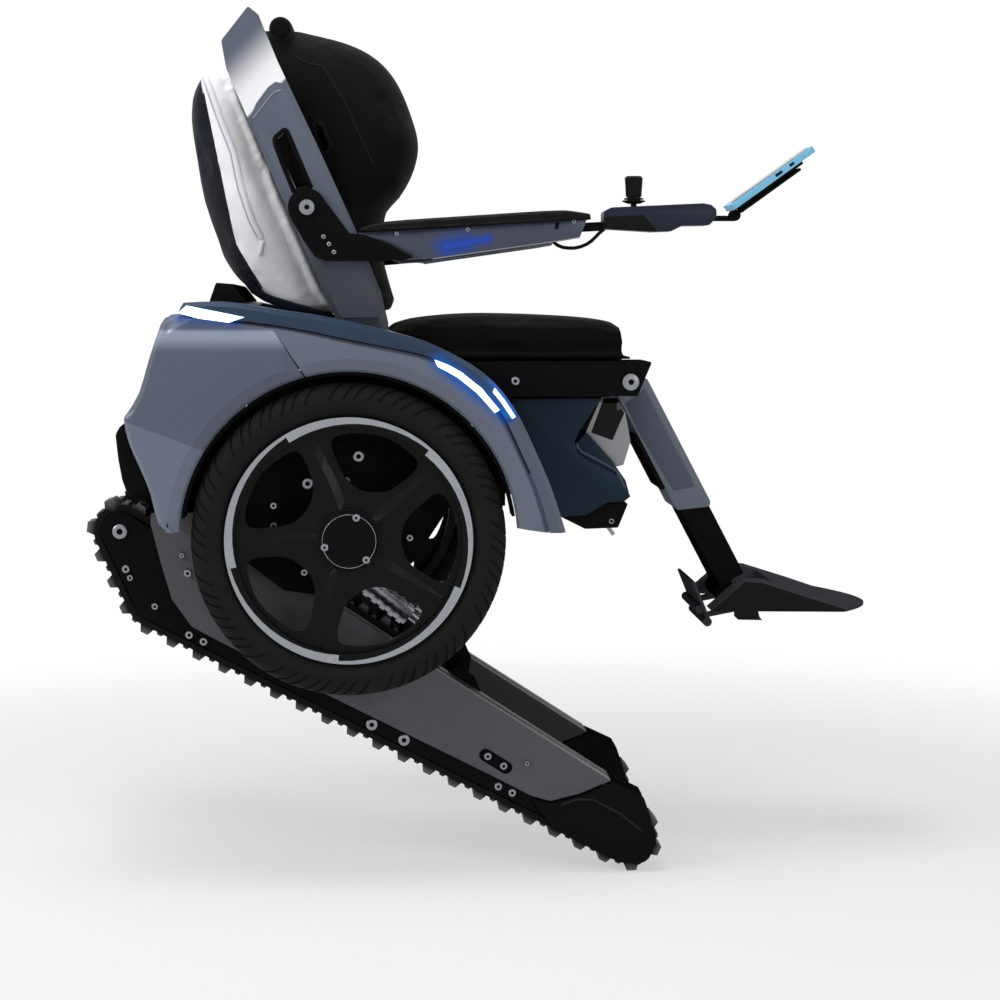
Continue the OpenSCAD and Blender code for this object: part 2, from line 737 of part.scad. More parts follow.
module track_belt() {
    color("#2a2a2c") placed() difference() {
        side(belt_edge, -belt_out, -belt_in);
        side(round_loop(belt_r - belt_t), -belt_out - overrun, -belt_in + overrun);
    }
}

module track_pulleys() {
    color("#1c1c1e") placed() both() {
        for (c = pulleys) {
            across(c, pulley_r, -belt_out, -belt_in);
            across(c, track_axle_r, -plate_out, -plate_in);
        }
        for (t = roller_shares) {
            c = along_run([t, 0]) - (belt_r - belt_t - seam - roller_r) * run_up;
            across(c, roller_r, -belt_out, -belt_in);
            across(c, track_axle_r, -plate_out, -plate_in);
        }
    }
}

module track_side_plates() {
    color("#161618") placed() both() difference() {
        for (y = [-plate_out - plate_t, -plate_in]) side(round_loop(plate_edge_r), y, y + plate_t);
        across(along_run(pivot_shares), pivot_r + fit, -plate_out - overrun, 0);
    }
}

module track_covers() {
    top = on_run(cover_top_shares);
    face = -plate_out - plate_t;
    slot = on_run(cover_slot_shares);
    turn = atan2(slot[1][1] - slot[0][1], slot[1][0] - slot[0][0]);
    hole = concat(
        arc(slot[0], cover_slot_r, turn + 90, turn + 270, cover_slot_steps),
        arc(slot[1], cover_slot_r, turn - 90, turn + 90, cover_slot_steps)
    );
    color("#4a4a50") placed() both() {
        difference() {
            side(on_run(cover_shares), face - cover_t, face);
            side(hole, face - overrun, face + overrun);
        }
        side(band(top, cover_t), face, face + flange_w);
    }
}

module track_nose_caps() {
    face = -plate_out - plate_t;
    color("#141416") placed() both() {
        side(on_run(nose_shares), face - nose_t, face);
        side(band(on_run(nose_top_shares), cover_t), face, face + flange_w);
    }
}

module track_bolts() {
    face = -plate_out - plate_t;
    color("#b4b6ba") placed() both() {
        for (b = plate_bolt_shares) across(along_run(b), b[2] * belt_r, face - bolt_h, face);
        for (b = cover_bolt_shares)
            across(along_run(b), b[2] * belt_r, face - cover_t - bolt_h, face - cover_t);
    }
}

module track_carrier() {
    end = plate_in - plate_t;
    color("#1b1b1e") placed() {
        across(along_run(cross_shares), cross_r, -end, end);
        both() side(on_run(cross_plate_shares), -end, cross_plate_t - end);
        across(along_run(sprocket_shares), drive_r, -end, end);
    }
}

// Chassis

module main_frame() {
    pivot = along_run(pivot_shares);
    eye = concat(
        [[pivot[0] + bracket_spread, beam_low], [pivot[0] - bracket_spread, beam_low]],
        arc(pivot, pivot_eye_r, 180, 360, arc_steps)
    );
    arm_plate = concat(
        [[actuator_start[0] + bracket_spread, beam_low], [actuator_start[0] - bracket_spread, beam_low]],
        arc(actuator_start, actuator_eye_r, 180, 360, arc_steps)
    );
    post_top = deck_shares[0][1] * arch_r - deck_t - seam;
    color("#202125") placed() {
        both() {
            block([beam_rear, -beam_out, beam_low], [beam_front, -beam_in, beam_high]);
            for (x = [-outrigger_x, outrigger_x])
                block([x - outrigger_w / 2, -side_plane, outrigger_low],
                    [x + outrigger_w / 2, -beam_out, beam_high]);
            side(eye, -beam_out - pivot_plate_t, -beam_out);
            block([pivot[0] - bracket_spread, -beam_out - pivot_plate_t, beam_low],
                [pivot[0] + bracket_spread, -beam_out, beam_high]);
            block([beam_front - post_w, -beam_out, beam_high - post_w],
                [beam_front + post_w, -beam_in, beam_high + post_w]);
            side(arm_plate, -beam_in, -beam_in + actuator_plate_t);
            across(actuator_start, actuator_pin_r, -beam_in, -actuator_y + actuator_eye_t / 2);
            block([beam_rear, -post_y - post_w / 2, beam_low],
                [beam_rear + post_w, -post_y + post_w / 2, post_top]);
        }
        across(pivot, pivot_r, -plate_out - plate_t + seam, plate_out + plate_t - seam);
        block([beam_front - post_w, seam + skin_t - housing_half, beam_high],
            [beam_front + 2 * post_w, housing_half - skin_t - seam, beam_high + post_w]);
        block([beam_rear, -beam_in, beam_low], [beam_rear + post_w, beam_in, beam_high]);
        block([beam_front - post_w, -beam_in, beam_low], [beam_front, beam_in, beam_high]);
        block([floor_rear, -beam_in, beam_low], [beam_front - post_w, beam_in, beam_low + floor_t]);
    }
}

module battery_pack() {
    low = beam_low + floor_t;
    half = beam_in - seam;
    color("#3a3f47") placed()
        block([battery_rear, -half, low], [battery_rear + battery_l, half, low + battery_h]);
}

module side_plates() {
    inner = arch_r - liner_gap - liner_t;
    outer = arch_r - liner_gap;
    a = 90 - liner_half_angle;
    liner = concat(
        arc([0, 0], outer, a, 180 - a, liner_steps),
        reversed(arc([0, 0], inner, a, 180 - a, liner_steps))
    );
    top = arc([0, 0], inner + liner_t / 2, plate_from, 180 - plate_from, liner_steps);
    plate = concat(top, scaled(plate_low_shares, arch_r));
    color("#17181a") placed() both() {
        side(plate, -side_plane - side_plate_t, -side_plane);
        side(liner, -liner_plane, -side_plane);
    }
}

module hub_motors() {
    face = -side_plane - side_plate_t;
    end = -wheel_plane - spoke_back;
    color("#232428") placed() both() {
        across([0, 0], motor_r, -wheel_plane + spoke_back + motor_gap, face);
        across([0, 0], axle_r, end, face);
    }
}

module chassis_bolts() {
    face = -side_plane - side_plate_t;
    color("#a8abb0") placed() both() for (b = chassis_bolt_shares) {
        across([b[0] * arch_r, b[1] * arch_r], b[2] * chassis_bolt_r, face - bolt_h, face);
    }
}

// One station of a fender skin, from the arch edge to the outer edge and round onto its far flank
function fender_row(low, high, far, t) = let (d = unit(high - low), out = body_half - t, r = skin_round)
    [for (q = [
        [low + d * t, liner_plane], [low + d * t, out - lip_tuck - r], [low + d * (t + r), out - lip_tuck],
        [low + d * lip_w, out], [high - d * (t + 2 * r), out], [high - d * t, out - 2 * r],
        [high - d * t, far]
    ]) [q[0][0], -q[1], q[0][1]]];

rear_outer = concat(
    reversed([for (i = [0:split_index]) seam_shares[i] * arch_r]),
    scaled(rear_edge_shares, arch_r)
);
front_outer = [for (i = [split_index:len(seam_shares) - 1]) seam_shares[i] * arch_r];

module fender(outline, a0, a1, steps, wrapped) {
    pts = curve(outline, steps);
    n = len(pts);
    low = [for (i = [0:n - 1]) let (a = a0 + (a1 - a0) * i / (n - 1)) arch_r * [cos(a), sin(a)]];
    far = [for (p = pts) !wrapped ? liner_plane - skin_round : p[1] > wrap_height ? deck_half : lower_wrap];
    wall(
        [for (i = [0:n - 1]) fender_row(low[i], pts[i], far[i], 0)],
        [for (i = [0:n - 1]) fender_row(low[i], pts[i], far[i], skin_t)]
    );
}

module rear_fenders() {
    color("#7d8492") placed() both()
        fender(rear_outer, rear_arch_angle + panel_gap_angle, rear_arch_end, 2, true);
}

module front_fenders() {
    color("#7d8492") placed() both() mirror([0, 1, 0])
        fender(front_outer, rear_arch_angle - panel_gap_angle, front_arch_end, 2, false);
}

// One station of a top rail, from the seam over its crown to the inner edge
function rail_row(low, high, t) = let (d = unit(high - low), out = body_half - t, r = skin_round)
    [for (q = [
        [low, out], [high - d * (t + 2 * r), out], [high - d * t, out - 3 * r], [high - d * t, deck_half]
    ]) [q[0][0], -q[1], q[0][1]]];

module top_rails() {
    low = curve(scaled(seam_shares, arch_r + seam), 2);
    high = curve(scaled(rail_top_shares, arch_r), 2);
    color("#34424f") placed() both() wall(
        [for (i = [0:len(low) - 1]) rail_row(low[i], high[i], 0)],
        [for (i = [0:len(low) - 1]) rail_row(low[i], high[i], skin_t)]
    );
}

module rear_housing() {
    half = deck_half - seam;
    color("#2c3640") placed() side(band(scaled(deck_shares, arch_r), deck_t), -half, half);
}

module rear_bumper() {
    color("#1d2228") placed() side(scaled(bumper_shares, arch_r), -bumper_half, bumper_half);
}

module rear_handle() {
    color("#141518") placed() difference() {
        side(scaled(handle_shares, arch_r), -handle_half, handle_half);
        side(scaled(handle_slot_shares, arch_r), -handle_slot_half, handle_slot_half);
    }
}

module front_housing() {
    outline = scaled(front_shares, arch_r);
    cheek = concat(outline, scaled(front_side_shares, arch_r));
    color("#33424f") placed() {
        side(band(outline, -skin_t), skin_t - housing_half, housing_half - skin_t);
        both() side(cheek, -housing_half, skin_t - housing_half);
    }
}

module front_lower_cap() {
    color("#141518") placed() side(scaled(cap_shares, arch_r), -cap_half, cap_half);
}

module front_lamp_pod() {
    color("#c3c7cc") placed() {
        side(scaled(pod_shares, arch_r), -pod_half, pod_half);
        side(scaled(pod_neck_shares, arch_r), -pod_half / 2, pod_half / 2);
    }
}

module front_lamp_windows() {
    color("#0b0c0e") placed() both()
        side(scaled(window_pane_shares, arch_r), -pod_half - pane_t, -pod_half);
}

module light_strips() {
    face = -body_half - light_proud;
    color("#dbe9ff") placed() both() {
        for (s = [rear_light_shares, front_light_shares, nose_light_shares])
            side(scaled(s, arch_r), face - light_t, face);
    }
}

module lift_column() {
    low = beam_low + floor_t;
    half = column_w / 2;
    hole = half - column_wall;
    color("#3a3c40") placed() difference() {
        block([column_x - half, -half, low], [column_x + half, half, column_top]);
        block([column_x - hole, -hole, low + floor_t], [column_x + hole, hole, column_top + overrun]);
    }
}

module track_actuators() {
    d = actuator_end - actuator_start;
    l = norm(d);
    slope = atan2(-d[1], d[0]);
    barrel = actuator_barrel_share * l;
    rib = barrel / (2 * actuator_ribs);
    color("#b9bdc3") placed() both()
        translate([actuator_start[0], -actuator_y, actuator_start[1]]) rotate([0, slope, 0]) difference() {
            union() {
                rotate([90, 0, 0]) cylinder(r = actuator_eye_r, h = actuator_eye_t, center = true);
                rotate([0, 90, 0]) {
                    translate([0, 0, actuator_eye_r]) cylinder(r = actuator_r, h = barrel - actuator_eye_r);
                    for (k = [1:actuator_ribs - 1])
                        translate([0, 0, actuator_eye_r + 2 * k * rib - rib])
                            cylinder(r = actuator_rib_r, h = rib);
                    cylinder(r = actuator_rod_r, h = l);
                }
                translate([l, 0, 0]) rotate([90, 0, 0])
                    cylinder(r = actuator_eye_r, h = actuator_eye_t, center = true);
            }
            for (x = [0, l]) translate([x, 0, 0]) rotate([90, 0, 0])
                cylinder(r = actuator_pin_r + fit, h = 2 * overrun, center = true);
        }
}

// Seat

module seat_frame() {
    bar = [
        [bar_rear, bar_top], [bar_front, bar_top], [bar_front - bar_slope, bar_low], [bar_rear, bar_low]
    ];
    ear = concat(
        [[bar_rear + cross_w, bar_top - cross_w], [bar_rear + cross_w, bar_top]],
        [[hinge[0] + 2 * ear_r, bar_top]],
        arc(hinge, ear_r, 0, 180, arc_steps), [[hinge[0] - ear_r, bar_top - cross_w]]
    );
    half = column_w / 2;
    color("#17181b") placed() {
        both() difference() {
            union() {
                side(bar, -bar_out, -bar_in);
                side(ear, -bar_in - ear_t, -bar_in);
            }
            block([bar_rear + cross_w, -bar_out + bar_wall, bar_low + bar_wall],
                [leg_joint[0] - 2 * leg_pin_r, -bar_in + overrun, bar_top - bar_wall]);
            across(hinge, hinge_r + fit, -bar_out, 0);
            across(leg_joint, leg_pin_r + fit, -bar_out - overrun, 0);
        }
        block([bar_rear, -bar_in, bar_top - cross_drop], [bar_rear + cross_w, bar_in, bar_top]);
        block([column_x - half, -bar_in, bar_top - cross_drop / 2], [column_x + half, bar_in, bar_top]);
        block([seat_rear, -bar_in - bar_wall, bar_top], [pan_front, bar_in + bar_wall, bar_top + pan_t]);
        both() block([lip_front, -bar_out, bar_top], [bar_front, -leg_notch, bar_top + pan_t]);
    }
}

module leg_pivot() {
    color("#b4b6ba") placed() {
        across(leg_joint, leg_pin_r, -bar_out, bar_out);
        both() across(leg_joint, leg_head_r, -bar_out - leg_head_t, -bar_out);
    }
}

module lift_ram() {
    half = column_w / 2 - column_wall - ram_gap;
    color("#9fa3a9") placed()
        block([column_x - half, -half, ram_low], [column_x + half, half, bar_top - cross_drop / 2]);
}

// A rounded ring of a cushion in the plane across its length
function pad_ring(half, low, high, e, count) = [for (i = [0:count - 1]) let (a = 360 * i / count)
    [half * power(cos(a), e), (low + high) / 2 + (high - low) / 2 * power(sin(a), e)]];

module seat_cushion() {
    low = bar_top + pan_t + seam;
    crown = curve(seat_crown_shares, 2);
    tuck = curve(seat_tuck_shares, 2);
    n = len(crown);
    color("#1d1d20") placed() form([for (i = [0:n - 1]) let (
            x = seat_rear + seat_l * i / (n - 1),
            half = seat_w / 2 * tuck[i],
            high = low + seat_t * crown[i]
        ) [for (q = pad_ring(half, low, high, cushion_square_share, ring_points)) [x, q[0], q[1]]]]);
}

// Back

module back_wings() {
    outline = moved(scaled(wing_shares, back_l), hinge);
    slot = moved(scaled(wing_slot_shares, back_l), hinge);
    color("#8d94a1") placed() both() {
        difference() {
            union() {
                side(outline, -wing_plane - wing_t, -wing_plane);
                side(moved(scaled(panel_shares, back_l), hinge), -wing_face, -wing_plane);
                across(hinge, ear_r, -wing_plane - wing_t, -wing_plane);
            }
            side(slot, -wing_face - overrun, overrun - wing_plane);
        }
        across(hinge, hinge_r, -wing_plane, -bar_in);
    }
}

frame_rear = moved(scaled(frame_rear_shares, back_l), hinge);
frame_front = moved(frame_rear, [frame_depth_share * back_l, 0]);

module back_frame() {
    half = wing_plane - seam;
    color("#1a1b1e") placed() side(concat(frame_rear, reversed(frame_front)), -half, half);
}

// Depth of the back frame's rear face at a height
function frame_at(z) = frame_rear[0][0] + (z - frame_rear[0][1]) * (frame_rear[1][0] - frame_rear[0][0])
    / (frame_rear[1][1] - frame_rear[0][1]);

// A soft form on one side of the back frame, ring by ring up its height
function back_ring(q, face, e) = let (
        z = hinge[1] + q[0] * back_l,
        x0 = frame_at(z) + face,
        x1 = hinge[0] + q[1] * back_l
    )
    [for (i = [0:ring_points - 1]) let (a = 360 * i / ring_points)
        [(x0 + x1) / 2 + abs(x1 - x0) / 2 * power(cos(a), e), q[2] * wing_plane * power(sin(a), e), z]];

module back_cushion() {
    face = frame_depth_share * back_l + seam;
    rows = curve(back_form_shares, form_steps);
    color("#17171a") placed() form([for (q = rows) back_ring(q, face, bag_square_share)]);
}

module bag() {
    rows = curve(bag_form_shares, form_steps);
    color("#e4e3ea") placed() form([for (q = rows) back_ring(q, -seam, bag_square_share)]);
}

// Arms

module arm_pivots() {
    color("#b4b6ba") placed() both() {
        across(arm_pivot, arm_pin_r, -arm_out - bracket_t, -wing_face);
        across(arm_pivot, arm_head_r, -arm_out - bracket_t - arm_head_t, -arm_out - bracket_t);
    }
}

module arm_bracket() {
    color("#161719") placed() difference() {
        union() {
            side(moved(scaled(bracket_shares, arm_l), arm_pivot), -arm_out - bracket_t, -arm_out);
            across(arm_pivot, arm_eye_r, -arm_out - bracket_t, -wing_face - seam);
        }
        across(arm_pivot, arm_pin_r + fit, -arm_out - bracket_t - overrun, 0);
    }
}

slide_start = arm_pivot + arm_l * [bar_start_share, -slide_drop_share];
slide_l = box_corner[0] - slide_start[0];

module arm_rail() {
    outline = moved(scaled(rail_shares, arm_l), arm_pivot);
    heel = outline[rail_cut_index];
    edge = outline[rail_cut_index - 1] - heel;
    past = rail_cut + overrun;
    color("#7f8694") placed() difference() {
        side(outline, seam - arm_out, -arm_in);
        translate([slide_start[0], control_y - slide_w / 2 - slide_gap, slide_start[1]])
            rotate([0, -arm_slope, 0]) cube([slide_l, slide_w + 2 * slide_gap, slide_h]);
        translate([heel[0], -arm_out, heel[1]]) rotate([0, -atan2(edge[1], edge[0]), 0])
            rotate([90, 0, 90]) linear_extrude(norm(edge) + overrun)
                polygon([[-overrun, -overrun], [past, -overrun], [-overrun, past]]);
    }
}

module arm_pad() {
    start = arm_pivot + arm_l * [pad_start_share, pad_low_share];
    reach = arm_l * (pad_end_share - pad_start_share);
    rise = arm_l * pad_rise_share;
    color("#222225") placed() form([for (i = [0:pad_rings]) let (
            t = i / pad_rings,
            nose = sqrt(1 - pow(abs(2 * t - 1), pad_end_power)),
            half = pad_w / 2 * (pad_end_w_share + (1 - pad_end_w_share) * nose),
            swell = pad_rear_share + (1 - pad_rear_share) * t,
            deep = pad_t * swell * (pad_end_t_share + (1 - pad_end_t_share) * nose),
            low = start[1] + rise * t + seam
        ) [for (q = pad_ring(half, low, low + deep, cushion_square_share, pad_points))
            [start[0] + reach * t, q[0] - pad_plane, q[1]]]]);
}

// Controls

module control_bar() {
    color("#1b1c1f") placed() translate([slide_start[0], control_y - slide_w / 2, slide_start[1]])
        rotate([0, -arm_slope, 0]) translate([0, 0, slide_gap])
            cube([slide_l, slide_w, slide_h - 2 * slide_gap]);
}

stick = box_corner + box_l * [stick_x_share, stick_z_share];

module control_box() {
    outline = moved(scaled(box_shares, box_l), box_corner);
    mid = box_corner + box_l * box_middle_shares;
    inset = [for (p = outline) mid + (p - mid) * box_edge_share];
    color("#2b3140") placed() difference() {
        union() {
            side(outline, control_y - box_w / 2 + box_edge, control_y + box_w / 2 - box_edge);
            side(inset, control_y - box_w / 2, control_y + box_w / 2);
        }
        block([stick[0] - well_half, control_y - well_half, stick[1] - well_depth],
            [stick[0] + well_half, control_y + well_half, stick[1] + overrun]);
    }
}

module joystick_gimbal() {
    color("#6e7277") placed() translate([stick[0], control_y, stick[1]]) difference() {
        union() {
            cylinder(r = gimbal_r, h = gimbal_h, center = true);
            rotate([0, 90, 0]) cylinder(r = trunnion_r, h = 2 * (well_half - seam), center = true);
        }
        cylinder(r = ball_r + seam, h = overrun, center = true);
        rotate([90, 0, 0]) cylinder(r = trunnion_r + fit, h = 2 * overrun, center = true);
    }
}

module joystick() {
    grip_r = grip_d / 2;
    profile = [
        [0, bellows_foot], [bellows_foot_r, bellows_foot],
        [bellows_r, bellows_low], [bellows_r, bellows_low + bellows_t],
        [waist_r, bellows_low + bellows_t], [waist_r, collar_low], [collar_r, collar_low],
        [collar_r, collar_low + collar_t], [waist_r, collar_low + collar_t], [waist_r, grip_low],
        [grip_r - grip_flare, grip_low], [grip_r, grip_high - grip_edge],
        [grip_r - grip_edge, grip_high], [0, grip_high]
    ];
    color("#1c1d20") placed() translate([stick[0], control_y, stick[1]]) {
        sphere(r = ball_r);
        cylinder(r = stem_r, h = grip_low);
        rotate([90, 0, 0]) cylinder(r = trunnion_r, h = 2 * gimbal_r, center = true);
        rotate_extrude() polygon(profile);
    }
}

module control_cable() {
    n = len(cable_route);
    rings = [for (i = [0:n - 1]) let (
            d = unit(cable_route[min(i + 1, n - 1)] - cable_route[max(i - 1, 0)]),
            u = left_of(d)
        ) [for (k = [0:cable_sides - 1]) let (a = 360 * k / cable_sides)
            [cable_route[i][0] + cable_r * cos(a) * u[0], cable_y + cable_r * sin(a),
             cable_route[i][1] + cable_r * cos(a) * u[1]]]];
    color("#141416") placed() form(rings);
}

module phone_holder() {
    start = box_corner[0] + box_l;
    color("#222428") placed() {
        block([start + seam, control_y, phone_hinge[1] - seam - arm_rod_h],
            [phone_hinge[0], control_y + eye_w, phone_hinge[1] - seam]);
        across(phone_hinge, eye_r, control_y, control_y + eye_w);
        across(phone_hinge, eye_pin_r, control_y - eye_w, control_y);
    }
}

module phone_frame() {
    translate([phone_hinge[0], control_y, phone_hinge[1]]) rotate([0, -phone_angle, 0]) children();
}

module phone_cradle() {
    color("#2a2d33") placed() phone_frame() difference() {
        union() {
            translate([0, -seam, 0]) rotate([90, 0, 0]) cylinder(r = eye_r, h = eye_w - seam);
            block([0, -eye_w, cradle_low - cradle_t], [cradle_start + eye_r, -seam, cradle_low]);
            block([cradle_start + eye_r / 2, -cradle_w / 2, cradle_low],
                [cradle_start + cradle_l, cradle_w / 2, cradle_low + cradle_t]);
        }
        rotate([90, 0, 0]) cylinder(r = eye_pin_r + fit, h = 2 * overrun, center = true);
    }
}

module phone() {
    low = cradle_low + cradle_t;
    r = phone_corner_r;
    color("#a9d4e8") placed() phone_frame() translate([-phone_back, -phone_w / 2, low]) difference() {
        linear_extrude(phone_t) union() {
            translate([r, 0]) square([phone_l - 2 * r, phone_w]);
            translate([0, r]) square([phone_l, phone_w - 2 * r]);
            for (x = [r, phone_l - r]) for (y = [r, phone_w - r]) translate([x, y]) circle(r = r);
        }
        for (p = phone_l * phone_port_shares)
            block([p[0], -overrun, port_margin], [p[1], port_depth, phone_t - port_margin]);
    }
}

// Legrest

module leg_frame() {
    translate([leg_joint[0], 0, leg_joint[1]]) rotate([0, -leg_angle, 0]) children();
}

sleeve_front = leg_t - sleeve_rear;
tube_rear = sleeve_rear - sleeve_wall - tube_gap;
tube_front = sleeve_front - sleeve_wall - tube_gap;
tube_half = leg_w / 2 - sleeve_wall - tube_gap;

module leg_sleeve() {
    outline = [
        [-sleeve_rear, -sleeve_low], [sleeve_front - sleeve_wall, -sleeve_low_front],
        [sleeve_front, sleeve_wall - sleeve_low_front], [sleeve_front, -sleeve_shoulder],
        [sleeve_rear, sleeve_top], [-sleeve_rear, sleeve_top]
    ];
    past = sleeve_cut + overrun;
    color("#8a909c") placed() leg_frame() difference() {
        side(outline, -leg_w / 2, leg_w / 2);
        block([-tube_rear - tube_gap, -tube_half - tube_gap, -sleeve_low_front - overrun],
            [tube_front + tube_gap, tube_half + tube_gap, -sleeve_roof]);
        across([0, 0], leg_pin_r + fit, -leg_w, leg_w);
        both() translate([sleeve_front, -leg_w / 2, -leg_l]) linear_extrude(leg_l + overrun)
            polygon([[-past, -overrun], [overrun, -overrun], [overrun, past]]);
    }
}

module leg_tube() {
    low = -leg_l;
    color("#1b1c1f") placed() leg_frame() difference() {
        union() {
            block([-tube_rear, -tube_half, low + foot_eye_r], [tube_front, tube_half, -tube_top]);
            across([-foot_pin_r, low], foot_eye_r, -tube_half, tube_half);
            block([-tube_rear, -tube_half, low],
                [foot_eye_r - foot_pin_r, tube_half, low + 2 * foot_eye_r]);
        }
        block([tube_wall - tube_rear, tube_wall - tube_half, low + 2 * foot_eye_r + tube_wall],
            [tube_front - tube_wall, tube_half - tube_wall, overrun]);
        across([-foot_pin_r, low], foot_pin_r + fit, -leg_w, leg_w);
    }
}

// Plan of the footplate with its bowed toe, drawn in by a margin
function foot_plan(d) = concat(
    [for (i = [0:arc_steps]) let (u = 2 * i / arc_steps - 1)
        [foot_l * (foot_toe_share + (1 - foot_toe_share) * (1 - u * u)) - d, u * (foot_w / 2 - d)]],
    [[-foot_l, foot_w / 2 - d], [-foot_l, d - foot_w / 2]]
);

module foot_form(shares, d) {
    intersection() {
        side(scaled(shares, foot_l), -foot_w, foot_w);
        translate([0, 0, -foot_l]) linear_extrude(2 * foot_l) polygon(foot_plan(d));
    }
}

module footplate() {
    walled = foot_notch + foot_wall;
    color("#242528") placed() translate([foot_hinge[0], 0, foot_hinge[1]]) {
        difference() {
            foot_form(foot_shares, 0);
            difference() {
                foot_form(foot_hollow_shares, foot_wall);
                block([-foot_l, -walled, -foot_l], [foot_notch_l + foot_wall, walled, foot_l]);
            }
            block([-foot_l, -foot_notch, -foot_l], [foot_notch_l, foot_notch, foot_l]);
        }
        both() {
            side(scaled(foot_lug_shares, foot_l), -foot_w / 2, foot_lug_w - foot_w / 2);
            side(scaled(heel_link_shares, foot_l), -heel_half, heel_link_t - heel_half);
        }
        across([0, 0], foot_pin_r, -walled, walled);
        side(scaled(heel_shares, foot_l), -heel_half, heel_half);
        for (c = scaled(heel_roller_shares, foot_l)) across(c, heel_roller_r, -roller_half, roller_half);
    }
}

main_frame();
side_plates();
hub_motors();
battery_pack();
rear_fenders();
front_fenders();
top_rails();
rear_housing();
rear_bumper();
rear_handle();
front_housing();
front_lower_cap();
front_lamp_pod();
front_lamp_windows();
light_strips();
lift_column();
chassis_bolts();
track_actuators();
tyre();  // tyre_right
rim();  // rim_right
rim_trim();  // rim_trim_right
hub_cap();  // hub_cap_right
on_left() tyre();  // tyre_left
on_left() rim();  // rim_left
on_left() rim_trim();  // rim_trim_left
on_left() hub_cap();  // hub_cap_left
track_carrier();
track_side_plates();
track_covers();
track_belt();  // track_belt_right
on_left() track_belt();  // track_belt_left
track_pulleys();
track_nose_caps();
track_bolts();
seat_frame();
seat_cushion();
lift_ram();
leg_pivot();
back_wings();
back_frame();
back_cushion();
bag();
arm_pivots();
arm_bracket();  // arm_bracket_right
arm_rail();  // arm_rail_right
arm_pad();  // arm_pad_right
on_left() arm_bracket();  // arm_bracket_left
on_left() arm_rail();  // arm_rail_left
on_left() arm_pad();  // arm_pad_left
control_bar();
control_box();
joystick_gimbal();
joystick();
control_cable();
phone_holder();
phone_cradle();
phone();
leg_sleeve();
leg_tube();
footplate();
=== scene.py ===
"""Looks of a stair climbing wheelchair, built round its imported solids.

Places are given in millimetres from the wheel axle: x forward, y to the chair's left, z up.
"""

from __future__ import annotations

import json
import logging
import math
from contextlib import contextmanager
from dataclasses import dataclass
from enum import Enum
from typing import Callable, Iterator, Sequence, Union

import bmesh
import bpy
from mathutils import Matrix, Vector

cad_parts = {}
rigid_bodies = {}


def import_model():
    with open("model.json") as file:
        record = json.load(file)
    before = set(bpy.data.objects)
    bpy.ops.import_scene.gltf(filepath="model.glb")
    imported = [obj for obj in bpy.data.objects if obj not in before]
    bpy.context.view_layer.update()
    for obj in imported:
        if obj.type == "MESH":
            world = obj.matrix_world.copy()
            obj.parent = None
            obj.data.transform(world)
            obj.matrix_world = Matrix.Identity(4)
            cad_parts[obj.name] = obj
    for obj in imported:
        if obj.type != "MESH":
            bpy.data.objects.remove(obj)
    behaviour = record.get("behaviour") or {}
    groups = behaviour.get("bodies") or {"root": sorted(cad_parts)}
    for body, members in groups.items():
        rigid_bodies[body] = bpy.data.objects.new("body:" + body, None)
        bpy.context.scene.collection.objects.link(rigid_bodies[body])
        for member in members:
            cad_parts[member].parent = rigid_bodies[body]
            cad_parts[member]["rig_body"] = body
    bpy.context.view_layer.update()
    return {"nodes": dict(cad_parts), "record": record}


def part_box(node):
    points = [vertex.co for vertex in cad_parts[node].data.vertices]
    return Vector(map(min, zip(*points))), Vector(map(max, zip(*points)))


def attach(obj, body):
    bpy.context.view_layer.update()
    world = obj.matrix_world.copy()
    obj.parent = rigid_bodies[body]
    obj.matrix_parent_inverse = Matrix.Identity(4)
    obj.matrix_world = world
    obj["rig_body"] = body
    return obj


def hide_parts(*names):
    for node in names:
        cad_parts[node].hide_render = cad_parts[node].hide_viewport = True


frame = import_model()
LOG = logging.getLogger("wheelchair")
MM = 0.001
LUG_MARK = "lug"
UPRIGHT = (math.pi / 2, 0.0, 0.0)
LEVEL = (0.0, 0.0, 0.0)
Route = tuple[tuple[float, float], ...]


class Side(Enum):
    """The two sides of the chair, with the sign of y on each."""

    RIGHT = -1
    LEFT = 1

    @property
    def word(self) -> str:
        """The side's name as the nodes have it."""
        return self.name.lower()

    def face(self, low: Vector, high: Vector) -> float:
        """The y of a box's outer face on this side."""
        return high.y if self is Side.LEFT else low.y


@dataclass(frozen=True)
class Datum:
    """The point between the wheels on their axle."""

    axle: Vector

    @classmethod
    def from_frame(cls) -> "Datum":
        """Finds the axle from the right wheel's rim.

        Returns:
            The datum.
        """
        low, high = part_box("rim_right")
        middle = (low + high) / 2
        return cls(Vector((middle.x, 0.0, middle.z)))

    def at(self, x: float, y: float, z: float) -> Vector:
        """Turns a place in millimetres from the axle into metres in the frame."""
        return self.axle + Vector((x, y, z)) * MM


DATUM = Datum.from_frame()


# Shader maths


